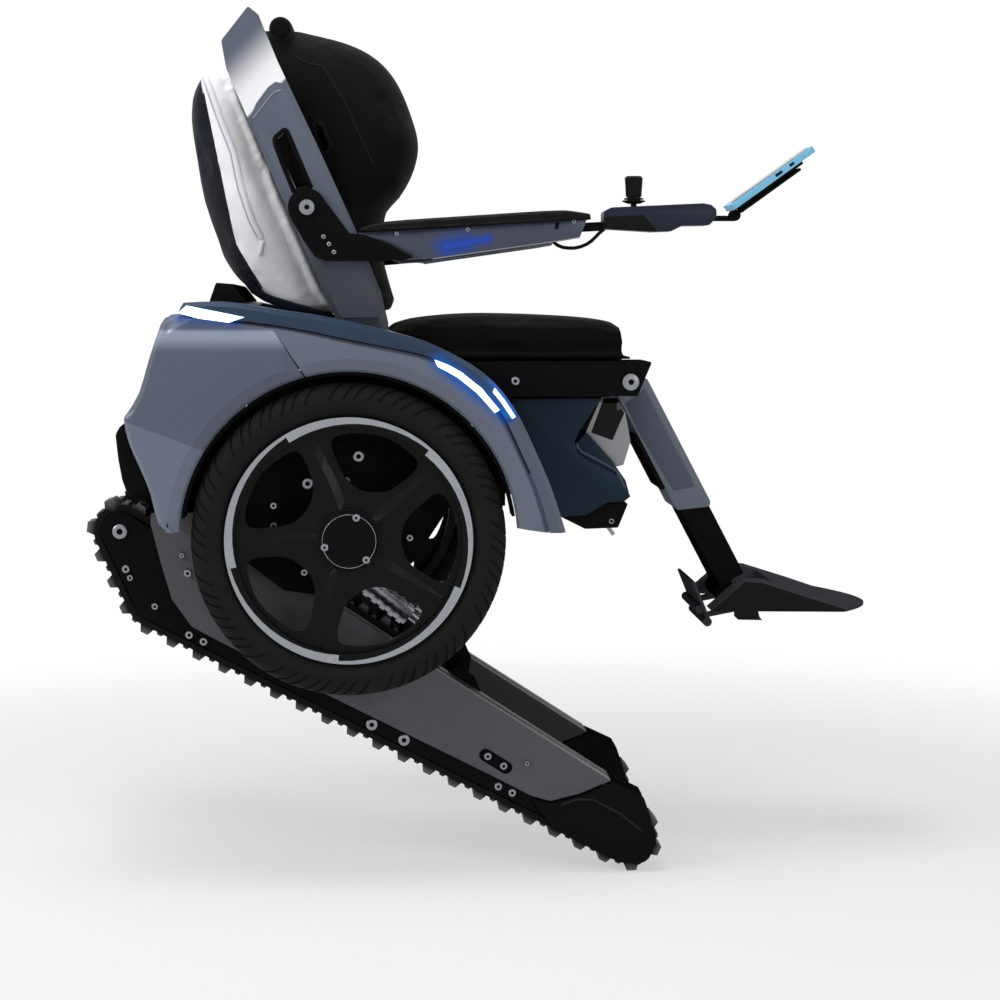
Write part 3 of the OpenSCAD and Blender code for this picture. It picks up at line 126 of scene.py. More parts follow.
class Wire:
    """An output of a shader node, which does sums on numbers as Python does."""

    def __init__(self, web: "Web", socket: bpy.types.NodeSocket) -> None:
        """Keeps the tree and the socket."""
        self.web = web
        self.socket = socket

    def _sum(self, operation: str, first: "Value", second: "Value" = 0.0) -> "Wire":
        """Adds one Math node."""
        return self.web.node("ShaderNodeMath", {"operation": operation}, {0: first, 1: second})

    def __add__(self, other: "Value") -> "Wire":
        """Sum."""
        return self._sum("ADD", self, other)

    def __radd__(self, other: "Value") -> "Wire":
        """Sum with the number first."""
        return self._sum("ADD", other, self)

    def __sub__(self, other: "Value") -> "Wire":
        """Difference."""
        return self._sum("SUBTRACT", self, other)

    def __rsub__(self, other: "Value") -> "Wire":
        """Difference with the number first."""
        return self._sum("SUBTRACT", other, self)

    def __mul__(self, other: "Value") -> "Wire":
        """Product."""
        return self._sum("MULTIPLY", self, other)

    def __rmul__(self, other: "Value") -> "Wire":
        """Product with the number first."""
        return self._sum("MULTIPLY", other, self)

    def __truediv__(self, other: "Value") -> "Wire":
        """Quotient."""
        return self._sum("DIVIDE", self, other)

    def __rtruediv__(self, other: "Value") -> "Wire":
        """Quotient with the number first."""
        return self._sum("DIVIDE", other, self)

    def __pow__(self, other: "Value") -> "Wire":
        """Power."""
        return self._sum("POWER", self, other)

    def size(self) -> "Wire":
        """The value without its sign."""
        return self._sum("ABSOLUTE", self)

    def root(self) -> "Wire":
        """Square root."""
        return self._sum("SQRT", self)

    def wave(self) -> "Wire":
        """Sine."""
        return self._sum("SINE", self)

    def larger(self, other: "Value") -> "Wire":
        """The larger of two values."""
        return self._sum("MAXIMUM", self, other)

    def smaller(self, other: "Value") -> "Wire":
        """The smaller of two values."""
        return self._sum("MINIMUM", self, other)

    def rise(self, low: float, high: float) -> "Wire":
        """A soft step from 0 at the low value to 1 at the high one.

        Args:
            low: Value where the step starts.
            high: Value where it ends, which may be the lower of the two.

        Returns:
            The step.
        """
        if high < low:
            return 1.0 - self.rise(high, low)
        span = {"Value": self, "From Min": low, "From Max": high}
        return self.web.node("ShaderNodeMapRange", {"interpolation_type": "SMOOTHSTEP"}, span)


Value = Union[Wire, float, Sequence[float]]


def tint(code: str) -> tuple[float, float, float, float]:
    """Turns a six-digit colour code into linear light.

    Args:
        code: Red, green and blue as hexadecimal pairs after a hash sign.

    Returns:
        Linear red, green, blue and full opacity.
    """
    parts = [int(code[i:i + 2], 16) / 255 for i in (1, 3, 5)]
    low, slope, offset, gain, power = 0.04045, 12.92, 0.055, 1.055, 2.4
    linear = [p / slope if p <= low else ((p + offset) / gain) ** power for p in parts]
    return (*linear, 1.0)


class Web:
    """The node tree of one material."""

    MIX_COLOUR = {"Factor": 0, "A": 6, "B": 7, "Result": 2}

    def __init__(self, name: str, owner: bpy.types.World | None = None) -> None:
        """Starts an empty tree, of a new material or of the world.

        Args:
            name: Name of a new material.
            owner: The world, where the tree is its own.
        """
        self.owner = owner or bpy.data.materials.new(name)
        self.owner.use_nodes = True
        self.tree = self.owner.node_tree
        self.tree.nodes.clear()

    def add(self, kind: str, settings: dict | None = None, inputs: dict | None = None) -> bpy.types.Node:
        """Adds a node, sets it up and feeds its sockets.

        Args:
            kind: The node's type.
            settings: Its own properties.
            inputs: Values or wires by socket name or number.

        Returns:
            The node.
        """
        made = self.tree.nodes.new(kind)
        for key, value in (settings or {}).items():
            setattr(made, key, value)
        for key, value in (inputs or {}).items():
            if isinstance(value, Wire):
                self.tree.links.new(value.socket, made.inputs[key])
            else:
                made.inputs[key].default_value = value
        return made

    def node(self, kind: str, settings: dict | None = None, inputs: dict | None = None,
             output: int | str = 0) -> Wire:
        """Adds a node as add does, and hands back one of its outputs."""
        return Wire(self, self.add(kind, settings, inputs).outputs[output])

    def split(self, vector: Wire) -> tuple[Wire, Wire, Wire]:
        """The three parts of a vector."""
        outs = self.add("ShaderNodeSeparateXYZ", inputs={0: vector}).outputs
        return Wire(self, outs[0]), Wire(self, outs[1]), Wire(self, outs[2])

    def place(self) -> Wire:
        """Object coordinates, in metres."""
        return self.node("ShaderNodeTexCoord", output="Object")

    def from_axle(self) -> tuple[Wire, Wire, Wire]:
        """Distances in millimetres from the axle along x, y and z.

        Returns:
            The three distances.
        """
        back = tuple(-v / MM for v in DATUM.axle)
        scale = (1 / MM, 1 / MM, 1 / MM)
        moved = self.node("ShaderNodeMapping", {"vector_type": "POINT"},
                          {"Vector": self.place(), "Location": back, "Scale": scale})
        return self.split(moved)

    def noise(self, scale: float, detail: float = 3.0, rough: float = 0.55,
              stretch: Sequence[float] = (1.0, 1.0, 1.0)) -> Wire:
        """Smooth noise from 0 to 1.

        Args:
            scale: Features per metre.
            detail: Octaves.
            rough: Share of the finer octaves.
            stretch: Scale along x, y and z.

        Returns:
            The noise value.
        """
        where = self.node("ShaderNodeMapping", inputs={"Vector": self.place(), "Scale": stretch})
        values = {"Vector": where, "Scale": scale, "Detail": detail, "Roughness": rough}
        return self.node("ShaderNodeTexNoise", inputs=values)

    def flakes(self, scale: float) -> Wire:
        """A value of its own, from 0 to 1, in each cell of a pattern.

        Args:
            scale: Cells per metre.

        Returns:
            The cells' values.
        """
        values = {"Vector": self.place(), "Scale": scale}
        cells = self.node("ShaderNodeTexVoronoi", inputs=values, output="Color")
        return self.node("ShaderNodeRGBToBW", inputs={0: cells})

    def mix(self, low: Value, high: Value, share: Value) -> Wire:
        """Blends two colours.

        Args:
            low: Colour at share 0.
            high: Colour at share 1.
            share: Blend factor.

        Returns:
            The blended colour.
        """
        at = self.MIX_COLOUR
        inputs = {at["Factor"]: share, at["A"]: low, at["B"]: high}
        return self.node("ShaderNodeMix", {"data_type": "RGBA"}, inputs, at["Result"])

    def bump(self, height: Value, strength: float, distance: float, under: Wire | None = None) -> Wire:
        """Turns a height into a normal.

        Args:
            height: The height pattern.
            strength: How much of it shows.
            distance: Height of the pattern in metres.
            under: A normal that this one is laid on.

        Returns:
            The normal.
        """
        values = {"Height": height, "Strength": strength, "Distance": distance}
        if under is not None:
            values["Normal"] = under
        return self.node("ShaderNodeBump", inputs=values)

    def beside(self, start: tuple[float, float], end: tuple[float, float], reach: float) -> Wire:
        """Closeness to a line in the side view.

        Args:
            start: First end of the line, x and z in millimetres from the axle.
            end: Its other end.
            reach: Distance at which the closeness has fallen to nothing.

        Returns:
            1 on the line, falling softly to 0.
        """
        x, _, z = self.from_axle()
        run = (end[0] - start[0], end[1] - start[1])
        length = math.hypot(*run)
        along_x, along_z = run[0] / length, run[1] / length
        ahead = (x - start[0]) * along_x + (z - start[1]) * along_z
        off = (x - start[0]) * -along_z + (z - start[1]) * along_x
        past = (ahead - length).larger(-1.0 * ahead).larger(0.0)
        far = (off * off + past * past).root()
        return (1.0 - (far / reach).smaller(1.0)) ** 2.0

    def surface(self, inputs: dict) -> bpy.types.Material:
        """Closes the material with a Principled shader.

        Args:
            inputs: Values or wires for the shader's sockets.

        Returns:
            The finished material.
        """
        shader = self.node("ShaderNodeBsdfPrincipled", inputs=inputs)
        self.add("ShaderNodeOutputMaterial", inputs={"Surface": shader})
        return self.owner


# Finishes


@dataclass(frozen=True)
class Spill:
    """Painted light from a strip on the skin beside it: an emission glow and a deeper base colour."""

    start: tuple[float, float]
    end: tuple[float, float]
    reach: float
    colour: str = "#1a62c8"
    strength: float = 0.6
    deep: str = "#163a66"
    inner: float = 315.0
    fade: float = 20.0
    deepen: float = 1.6


@dataclass(frozen=True)
class Paint:
    """Metallic paint under a clear lacquer.

    A crown gives the skin a slow roundness: the distance where it starts and its radius. The distance is the
    radius about the axle, or the height above it.
    A painted highlight is a brighter colour that grows towards a line across the side view and stops there,
    and at a raised face. Beyond a second line the paint takes another colour: a painted lit facet on the rear
    fender, a painted shadow on the wing. A line is given by its weights of x and z and its value, or the
    values where the painted highlight starts and is full.
    """

    name: str
    colour: str
    deep: str
    metal: float = 0.15
    roughness: float = 0.34
    coat: float = 0.15
    shine: float = 0.2
    spills: tuple[Spill, ...] = ()
    crown: tuple[float, float] | None = None
    crown_round_axle: bool = True
    # painted highlight: its colour, line, stop, raised face, fade, and the extra metal and gloss within it
    polish: str = ""
    polish_line: tuple[float, float, float, float] = (0.0, 1.0, 0.0, 1.0)
    polish_stop: float = 0.0
    polish_face: float = 0.0
    polish_fade: float = 8.0
    polish_metal: float = 0.5
    polish_gloss: float = 0.16
    beyond: str = ""
    beyond_line: tuple[float, float, float] = (0.0, 1.0, 0.0)
    beyond_fade: float = 1.0
    cloud_scale: float = 5.0
    flake_scale: float = 2600.0
    dust_scale: float = 46.0
    peel_scale: float = 700.0
    coat_roughness: float = 0.08

    def make(self) -> bpy.types.Material:
        """Builds the paint: flakes, slow cloudiness, lacquer texture, a painted highlight and a painted glow
        of light spill.

        Returns:
            The material.
        """
        web = Web(self.name)
        cloud = web.noise(self.cloud_scale, 2.0)
        grey = web.flakes(self.flake_scale)
        share = (cloud * 0.5 + grey * 0.5).rise(0.15, 0.85)
        dust = web.noise(self.dust_scale, 5.0, 0.65).rise(0.56, 0.78)
        shade = web.mix(tint(self.deep), tint(self.colour), share)
        # another colour beyond a line: a painted lit facet on the rear fender, a painted shadow on the wing
        if self.beyond:
            x, _, z = web.from_axle()
            lean, climb, edge = self.beyond_line
            past = (x * lean + z * climb).rise(edge - self.beyond_fade, edge + self.beyond_fade)
            shade = web.mix(shade, tint(self.beyond), past)
        matt: Value = dust * 0.07 + (grey * 0.06 + (self.roughness - 0.03))
        metal: Value = self.metal
        # painted highlight: a brighter, more metallic and glossier colour growing towards a line
        if self.polish:
            x, y, z = web.from_axle()
            lean, climb, low, high = self.polish_line
            below = y.size().rise(self.polish_face, self.polish_face - 1.0)
            line = x * lean + z * climb
            stop = line.rise(self.polish_stop, self.polish_stop - self.polish_fade)
            bright = line.rise(low, high) * stop * below
            shade = web.mix(shade, tint(self.polish), bright)
            matt = matt - bright * self.polish_gloss
            metal = bright * self.polish_metal + self.metal
        normal = web.bump(web.noise(self.peel_scale, 1.0), 0.06, 0.0004)
        if self.crown:
            start, radius = self.crown
            x, _, z = web.from_axle()
            far = (x * x + z * z).root() if self.crown_round_axle else z
            past = (far - start).larger(0.0)
            normal = web.bump(past * past * (-MM / (2 * radius)), 1.0, 1.0, normal)
        values = {
            "Base Color": shade,
            "Metallic": metal,
            "Roughness": matt,
            "Specular IOR Level": self.shine,
            "Coat Weight": self.coat,
            "Coat Roughness": self.coat_roughness,
            "Normal": normal,
        }
        # painted glow of the light strips: emission and a deeper, bluer base colour on the skin beside them
        if self.spills:
            first, *others = self.spills
            glow = web.beside(first.start, first.end, first.reach)
            for spill in others:
                glow = glow.larger(web.beside(spill.start, spill.end, spill.reach))
            _, y, _ = web.from_axle()
            glow = glow * y.size().rise(first.inner, first.inner + first.fade)
            values["Base Color"] = web.mix(shade, tint(first.deep), (glow * first.deepen).smaller(1.0))
            values["Emission Color"] = web.mix((0.0, 0.0, 0.0, 1.0), tint(first.colour), glow)
            values["Emission Strength"] = first.strength
        return web.surface(values)


@dataclass(frozen=True)
class Moulding:
    """Moulded plastic or powder coat with a fine grain."""

    name: str
    colour: str
    worn: str
    roughness: float = 0.5
    grain: float = 1400.0
    depth: float = 0.25
    metal: float = 0.0
    shine: float = 0.08

    def shade(self, web: Web, share: Wire) -> Wire:
        """The colour between new and worn."""
        return web.mix(tint(self.colour), tint(self.worn), share)

    def make(self) -> bpy.types.Material:
        """Builds the moulding: grain, scuffs that lighten it, and uneven gloss.

        Returns:
            The material.
        """
        web = Web(self.name)
        grain = web.noise(self.grain, 2.0)
        scuff = web.noise(22.0, 8.0, 0.7).rise(0.55, 0.8)
        haze = web.noise(6.0, 2.0)
        share = scuff * 0.45 + haze * 0.35 + grain * 0.1
        return web.surface({
            "Base Color": self.shade(web, share),
            "Metallic": self.metal,
            "Specular IOR Level": self.shine,
            "Roughness": haze * 0.12 + (scuff * 0.1 + (self.roughness - 0.08)),
            "Normal": web.bump(grain, self.depth, 0.0004),
        })


@dataclass(frozen=True)
class TwoShell(Moulding):
    """A moulded box whose lower rear shell is darker than the rest."""

    lower: str = "#0a0a0b"
    seam: tuple[float, float] = (511.0, 0.048)
    front: tuple[float, float] = (952.0, -0.868)
    edge: float = 0.6

    def shade(self, web: Web, share: Wire) -> Wire:
        """The colour of either shell.

        Args:
            web: The material's tree.
            share: How worn it is.

        Returns:
            The colour.
        """
        x, _, z = web.from_axle()
        under = (z - (x * self.seam[1] + self.seam[0])).rise(self.edge, -self.edge)
        behind = (x - (z * self.front[1] + self.front[0])).rise(self.edge, -self.edge)
        return web.mix(super().shade(web, share), tint(self.lower), under * behind)


@dataclass(frozen=True)
class Tread(Moulding):
    """A moulded footplate whose top is paler than its outer walls, and turns down over them at the front."""

    top: str = "#404045"
    wall: float = 146.0
    crest: tuple[float, float] = (135.3, -0.326)
    edge: float = 0.5

    def shade(self, web: Web, share: Wire) -> Wire:
        """The colour of the top or of a wall.

        Args:
            web: The material's tree.
            share: How worn it is.

        Returns:
            The colour.
        """
        x, y, z = web.from_axle()
        inside = y.size().rise(self.wall + self.edge, self.wall - self.edge)
        above = (z - (x * self.crest[1] + self.crest[0])).rise(-self.edge, self.edge)
        return web.mix(super().shade(web, share), tint(self.top), inside.larger(above))


@dataclass(frozen=True)
class Metal:
    """Bare machined or plated metal."""

    name: str
    colour: str
    deep: str
    roughness: float = 0.3
    stretch: tuple[float, float, float] = (1.0, 30.0, 1.0)

    def make(self) -> bpy.types.Material:
        """Builds the metal: tool lines, smears and a little tarnish.

        Returns:
            The material.
        """
        web = Web(self.name)
        lines = web.noise(220.0, 3.0, 0.6, self.stretch)
        smear = web.noise(30.0, 4.0)
        return web.surface({
            "Base Color": web.mix(tint(self.deep), tint(self.colour), lines * 0.5 + smear * 0.5),
            "Metallic": 0.95,
            "Roughness": lines * 0.14 + (smear * 0.12 + (self.roughness - 0.12)),
            "Normal": web.bump(lines, 0.12, 0.0003),
        })


@dataclass(frozen=True)
class Rubber:
    """Tyre and belt rubber, dusty where it has rolled."""

    name: str
    colour: str
    dusty: str
    ridge_pitch: float = 0.0
    lug: str = ""

    def make(self) -> bpy.types.Material:
        """Builds the rubber: pores, dust, rings on a tyre's wall and a belt's paler lugs.

        Returns:
            The material.
        """
        web = Web(self.name)
        pores = web.noise(900.0, 3.0)
        dust = web.noise(16.0, 6.0, 0.7).rise(0.45, 0.8)
        normal = web.bump(pores, 0.3, 0.0004)
        if self.ridge_pitch:
            x, _, z = web.from_axle()
            ring = ((x * x + z * z).root() * (2 * math.pi / self.ridge_pitch)).wave()
            normal = web.bump(ring, 0.18, 0.0005, normal)
        shade = web.mix(tint(self.colour), tint(self.dusty), dust * 0.6 + pores * 0.2)
        if self.lug:
            # lug mark: raised lugs are painted paler than the band, by their height above it
            worn = web.node("ShaderNodeAttribute", {"attribute_name": LUG_MARK}, output="Fac")
            shade = web.mix(shade, tint(self.lug), worn * (dust * 0.3 + 0.7))
        return web.surface({
            "Base Color": shade,
            "Roughness": dust * 0.14 + (pores * 0.1 + 0.62),
            "Specular IOR Level": 0.1,
            "Normal": normal,
        })


@dataclass(frozen=True)
class Cloth:
    """Woven cover."""

    name: str
    colour: str
    lit: str
    thread: float = 1.1
    nap: float = 0.4

    def weave(self, web: Web) -> Wire:
        """Height of the threads, crossing at a right angle on three planes.

        Args:
            web: The material's tree.

        Returns:
            The weave's height.
        """
        turn = 2 * math.pi / self.thread
        x, y, z = web.from_axle()
        crossed = ((x + z) * turn).wave() * ((x - z) * turn).wave()
        return crossed + ((y + z) * turn).wave() * ((y - z) * turn).wave()

    def make(self) -> bpy.types.Material:
        """Builds the cover: weave, slow painted folds of light and soft sheen.

        Returns:
            The material.
        """
        web = Web(self.name)
        weave = self.weave(web)
        wear_and_light_folds = web.noise(7.0, 4.0)
        lint = web.noise(300.0, 3.0, 0.7)
        # lit colour by slow noise, lint and weave: painted folds of light; the slow noise also varies the
        # roughness as wear
        share = wear_and_light_folds.rise(0.3, 0.8) * 0.6 + lint * 0.3 + weave * 0.08
        creases = web.bump(web.noise(28.0, 4.0, 0.6), 0.16, 0.004)
        return web.surface({
            "Base Color": web.mix(tint(self.colour), tint(self.lit), share),
            "Roughness": wear_and_light_folds * 0.12 + 0.76,
            "Sheen Weight": self.nap,
            "Sheen Roughness": 0.4,
            "Specular IOR Level": 0.08,
            "Normal": web.bump(weave, 0.4, 0.0004, creases),
        })


@dataclass(frozen=True)
class BagCloth(Cloth):
    """Pale bag cloth with a dark rear and base panel."""

    dark: str = "#0b0e16"
    dark_lit: str = "#151d31"
    rear_line: tuple[float, float] = (-93.0, -0.2)
    corner_line: tuple[float, float] = (92.0, -0.577)
    base_line: tuple[float, float] = (363.0, -0.30)
    edge: float = 2.0

    def make(self) -> bpy.types.Material:
        """Builds the cloth and splits it into its pale and dark panels.

        Returns:
            The material.
        """
        web = Web(self.name)
        weave = self.weave(web)
        x, _, z = web.from_axle()
        behind = x - (z * self.rear_line[1] + self.rear_line[0])
        below = z - (x * self.base_line[1] + self.base_line[0])
        corner = x - (z * self.corner_line[1] + self.corner_line[0])
        panel = behind.smaller(corner).smaller(below).rise(-self.edge, self.edge)
        wear_and_light_folds = web.noise(9.0, 4.0)
        creases = web.noise(14.0, 5.0, 0.6, (1.0, 1.0, 2.2))
        # each panel turns towards its lit colour with slow noise: painted folds of light
        pale = web.mix(tint(self.colour), tint(self.lit), wear_and_light_folds.rise(0.3, 0.75))
        deep = web.mix(tint(self.dark), tint(self.dark_lit), wear_and_light_folds.rise(0.4, 0.8))
        folds = web.bump(creases, 0.3, 0.006)
        return web.surface({
            "Base Color": web.mix(deep, pale, panel),
            "Roughness": wear_and_light_folds * 0.15 + 0.6,
            "Sheen Weight": self.nap,
            "Specular IOR Level": 0.12,
            "Normal": web.bump(weave, 0.25, 0.0004, folds),
        })


@dataclass(frozen=True)
class Glow:
    """A lit diffuser."""

    name: str
    colour: str
    core: str
    strength: float

    def make(self) -> bpy.types.Material:
        """Builds the diffuser: a bright band with faint unevenness from the lamps behind it.

        Returns:
            The material.
        """
        web = Web(self.name)
        uneven = web.noise(60.0, 2.0)
        shade = web.mix(tint(self.colour), tint(self.core), uneven.rise(0.2, 0.7))
        return web.surface({
            "Base Color": shade,
            "Roughness": uneven * 0.1 + 0.25,
            "Emission Color": shade,
            "Emission Strength": self.strength,
        })


@dataclass(frozen=True)
class Glass:
    """Dark glossy window."""

    name: str
    colour: str
    smear: str

    def make(self) -> bpy.types.Material:
        """Builds the window: black gloss with faint wipe marks.

        Returns:
            The material.
        """
        web = Web(self.name)
        wipe = web.noise(18.0, 5.0, 0.6, (1.0, 1.0, 4.0))
        return web.surface({
            "Base Color": web.mix(tint(self.colour), tint(self.smear), wipe),
            "Roughness": wipe.rise(0.4, 0.8) * 0.12 + 0.05,
            "Specular IOR Level": 0.12,
        })


Finish = Union[Paint, Moulding, Metal, Rubber, Cloth, Glow, Glass]

# painted light: the strips' glow on fenders and rails, and a painted blue reflection on the arm rail
FRONT_SPILL = (Spill((150.0, 292.0), (258.0, 208.0), 30.0), Spill((238.0, 262.0), (272.0, 212.0), 24.0))
REAR_SPILL = (Spill((-270.0, 366.0), (-180.0, 360.0), 24.0, colour="#1a56b0", strength=0.22, deep="#39486b"),)
ARM_SPILL = (
    Spill((162.0, 482.0), (196.0, 488.0), 34.0, colour="#1450d0", strength=0.55, deep="#15264c", inner=255.0),
    Spill((190.0, 487.5), (232.0, 495.0), 17.0))

SILVER = Paint("silver_paint", "#747a86", "#6a707b", metal=0.05, coat=0.0, shine=0.0)
PANEL_SILVER = Paint("panel_paint", "#5f6472", "#565b68", metal=0.05, coat=0.0, shine=0.0)
FRONT_SILVER = Paint("front_fender_paint", "#6c7282", "#5f6574", spills=FRONT_SPILL, crown=(300.0, 160.0))
# rear fender: the paler beyond colour below the crease is a painted lit facet, the band under the light strip
# a painted highlight
REAR_SILVER = Paint("rear_fender_paint", "#5e6474", "#525867", spills=REAR_SPILL, crown=(250.0, 290.0),
                    crown_round_axle=False, polish="#8f97aa", polish_line=(0.0, 1.0, 308.0, 338.0),
                    polish_stop=350.0, polish_face=1000.0, beyond="#6b7284",
                    beyond_line=(-0.3836, -1.0, -59.3))
ARM_SILVER = Paint("arm_paint", "#4b5161", "#404655", spills=ARM_SPILL)
# wing: the near-white band is a painted reflection, the darker colour below the bracket a painted shadow
WING_SILVER = Paint("wing_paint", "#626879", "#585e6d", polish="#f4f5f8",
                    polish_line=(1.0, -1.0, -1000.0, -893.0), polish_stop=-858.0, polish_face=229.6,
                    beyond="#41454f", beyond_line=(0.0, -1.0, -467.0), beyond_fade=40.0)
POD_SILVER = Paint("pod_paint", "#9c9da2", "#88898f", roughness=0.3)
SLATE = Paint("slate_paint", "#202d3a", "#1a2631", coat=0.0, shine=0.06)
# paler slate for the housing's hem: a painted highlight along its edge
HEM_HIGHLIGHT_SLATE = Paint("hem_paint", "#40505f", "#35444f", coat=0.0, shine=0.1)
RAIL_SLATE = Paint("rail_paint", "#35455b", "#2b394d", coat=0.1, shine=0.1, spills=FRONT_SPILL,
                   beyond="#585e6d", beyond_line=(0.45, -0.9, -57.0))
INNER_GREY = Paint("inner_grey", "#38383b", "#2f2f32", metal=0.05, roughness=0.5, coat=0.0, shine=0.1)
# paler grey for the raised fold on each nose: a painted highlight along it
FOLD_HIGHLIGHT_GREY = Moulding("crease_black", "#2b2b2d", "#333335", roughness=0.5, shine=0.0)
COVER_GREY = Paint("cover_grey", "#5b5a5f", "#4f4e53", metal=0.05, roughness=0.48, coat=0.0, shine=0.12)
BLACK_STEEL = Moulding("black_powder_coat", "#131314", "#1b1b1d", roughness=0.46, grain=900.0, shine=0.0)
BLACK_PLASTIC = Moulding("black_plastic", "#141415", "#1d1d1f", roughness=0.42, shine=0.0)
SOFT_BLACK = Moulding("soft_black", "#0a0a0b", "#151517", roughness=0.55)
NAVY_PLASTIC = TwoShell("navy_plastic", "#232734", "#2d3242", roughness=0.4, shine=0.1)
FOOT_PLASTIC = Tread("foot_plastic", "#1d1d1e", "#272728", roughness=0.52, shine=0.0)
CASE_BLUE = Moulding("case_blue", "#7cc0e4", "#8dcbea", roughness=0.42, grain=500.0, depth=0.0, shine=0.2)
RIM_BLACK = Moulding("rim_black", "#070708", "#0e0f10", roughness=0.34, grain=1800.0, depth=0.12, shine=0.1)
STEEL = Metal("zinc_steel", "#9a9da2", "#6c7076", roughness=0.32)
ALUMINIUM = Metal("machined_aluminium", "#a6a9ae", "#7d8187", roughness=0.28)
CAST = Metal("cast_aluminium", "#141518", "#0c0d0f", roughness=0.45)
TYRE_RUBBER = Rubber("tyre_rubber", "#111112", "#202021", ridge_pitch=4.2)
BELT_RUBBER = Rubber("belt_rubber", "#0a0a0b", "#161617", lug="#77777b")
CABLE_RUBBER = Rubber("cable_rubber", "#060607", "#101012")
SEAT_CLOTH = Cloth("seat_cloth", "#060607", "#0d0d0f", nap=0.04)
BACK_CLOTH = Cloth("back_cloth", "#070708", "#0f0f11", nap=0.05)
PAD_COVER = Moulding("pad_cover", "#0c0c0d", "#171719", roughness=0.55, grain=700.0, depth=0.4)
PIPING = Cloth("piping", "#121214", "#222225", thread=0.8, nap=0.1)
BAG_CLOTH = BagCloth("bag_cloth", "#f9f9ff", "#fdfdff", thread=1.6, nap=0.05)
GUSSET = Cloth("gusset_cloth", "#0b0e16", "#131a2a", thread=1.6, nap=0.04)
TAPE = Cloth("zip_tape", "#f4f3fa", "#fbfaff", thread=0.7, nap=0.05)
# greyer cloth for the zip line beside the welt, which also paints the welt's shadow
SHADOW_CLOTH = Cloth("welt_cloth", "#bcbccd", "#c8c8d8", thread=0.7, nap=0.05)
LIGHT = Glow("light_strip", "#9adcff", "#eaf8ff", strength=2.2)
WINDOW = Glass("lamp_window", "#030304", "#08090a")
SCREEN = Glass("phone_screen", "#04050a", "#0d0f16")

DRESS: dict[Finish, tuple[str, ...]] = {
    FRONT_SILVER: ("front_fenders",),
    REAR_SILVER: ("rear_fenders",),
    ARM_SILVER: ("arm_rail_right", "arm_rail_left"),
    SILVER: ("leg_sleeve",),
    WING_SILVER: ("back_wings",),
    POD_SILVER: ("front_lamp_pod",),
    SLATE: ("front_housing", "rear_housing"),
    RAIL_SLATE: ("top_rails",),
    COVER_GREY: ("track_covers",),
    BLACK_STEEL: (
        "main_frame", "side_plates", "track_side_plates", "seat_frame", "arm_bracket_right",
        "arm_bracket_left", "back_frame", "leg_tube", "control_bar", "track_carrier", "lift_column",
    ),
    BLACK_PLASTIC: (
        "front_lower_cap", "rear_bumper", "rear_handle", "track_nose_caps", "phone_holder", "phone_cradle",
        "joystick_gimbal", "battery_pack", "track_pulleys", "hub_cap_right", "hub_cap_left",
    ),
    NAVY_PLASTIC: ("control_box",),
    FOOT_PLASTIC: ("footplate",),
    SOFT_BLACK: ("joystick",),
    CASE_BLUE: ("phone",),
    RIM_BLACK: ("rim_right", "rim_left"),
    STEEL: ("chassis_bolts", "track_bolts", "leg_pivot", "arm_pivots", "lift_ram"),
    ALUMINIUM: ("rim_trim_right", "rim_trim_left", "track_actuators"),
    CAST: ("hub_motors",),
    BELT_RUBBER: ("track_belt_right", "track_belt_left"),
    CABLE_RUBBER: ("control_cable",),
    LIGHT: ("light_strips",),
    WINDOW: ("front_lamp_windows",),
}
FINISH_OF = {name: finish for finish, names in DRESS.items() for name in names}
SLOT_OF = {row["node"]: row["material_slot"] for row in frame["record"]["subparts"]}


class Wardrobe:
    """Makes each finish once and puts it on nodes and pieces."""

    def __init__(self) -> None:
        """Starts with nothing made."""
        self._made: dict[Finish, bpy.types.Material] = {}

    def material(self, finish: Finish) -> bpy.types.Material:
        """The material of a finish, made on first use.

        Args:
            finish: The finish.

        Returns:
            Its material.
        """
        if finish not in self._made:
            self._made[finish] = finish.make()
        return self._made[finish]

    def put_on(self, obj: bpy.types.Object, finish: Finish) -> None:
        """Gives an object one finish all over."""
        obj.data.materials.clear()
        obj.data.materials.append(self.material(finish))

    def dress_nodes(self) -> None:
        """Dresses every CAD node that shows."""
        for finish, names in DRESS.items():
            for name in names:
                self.put_on(frame["nodes"][name], finish)


# Modelling by operators


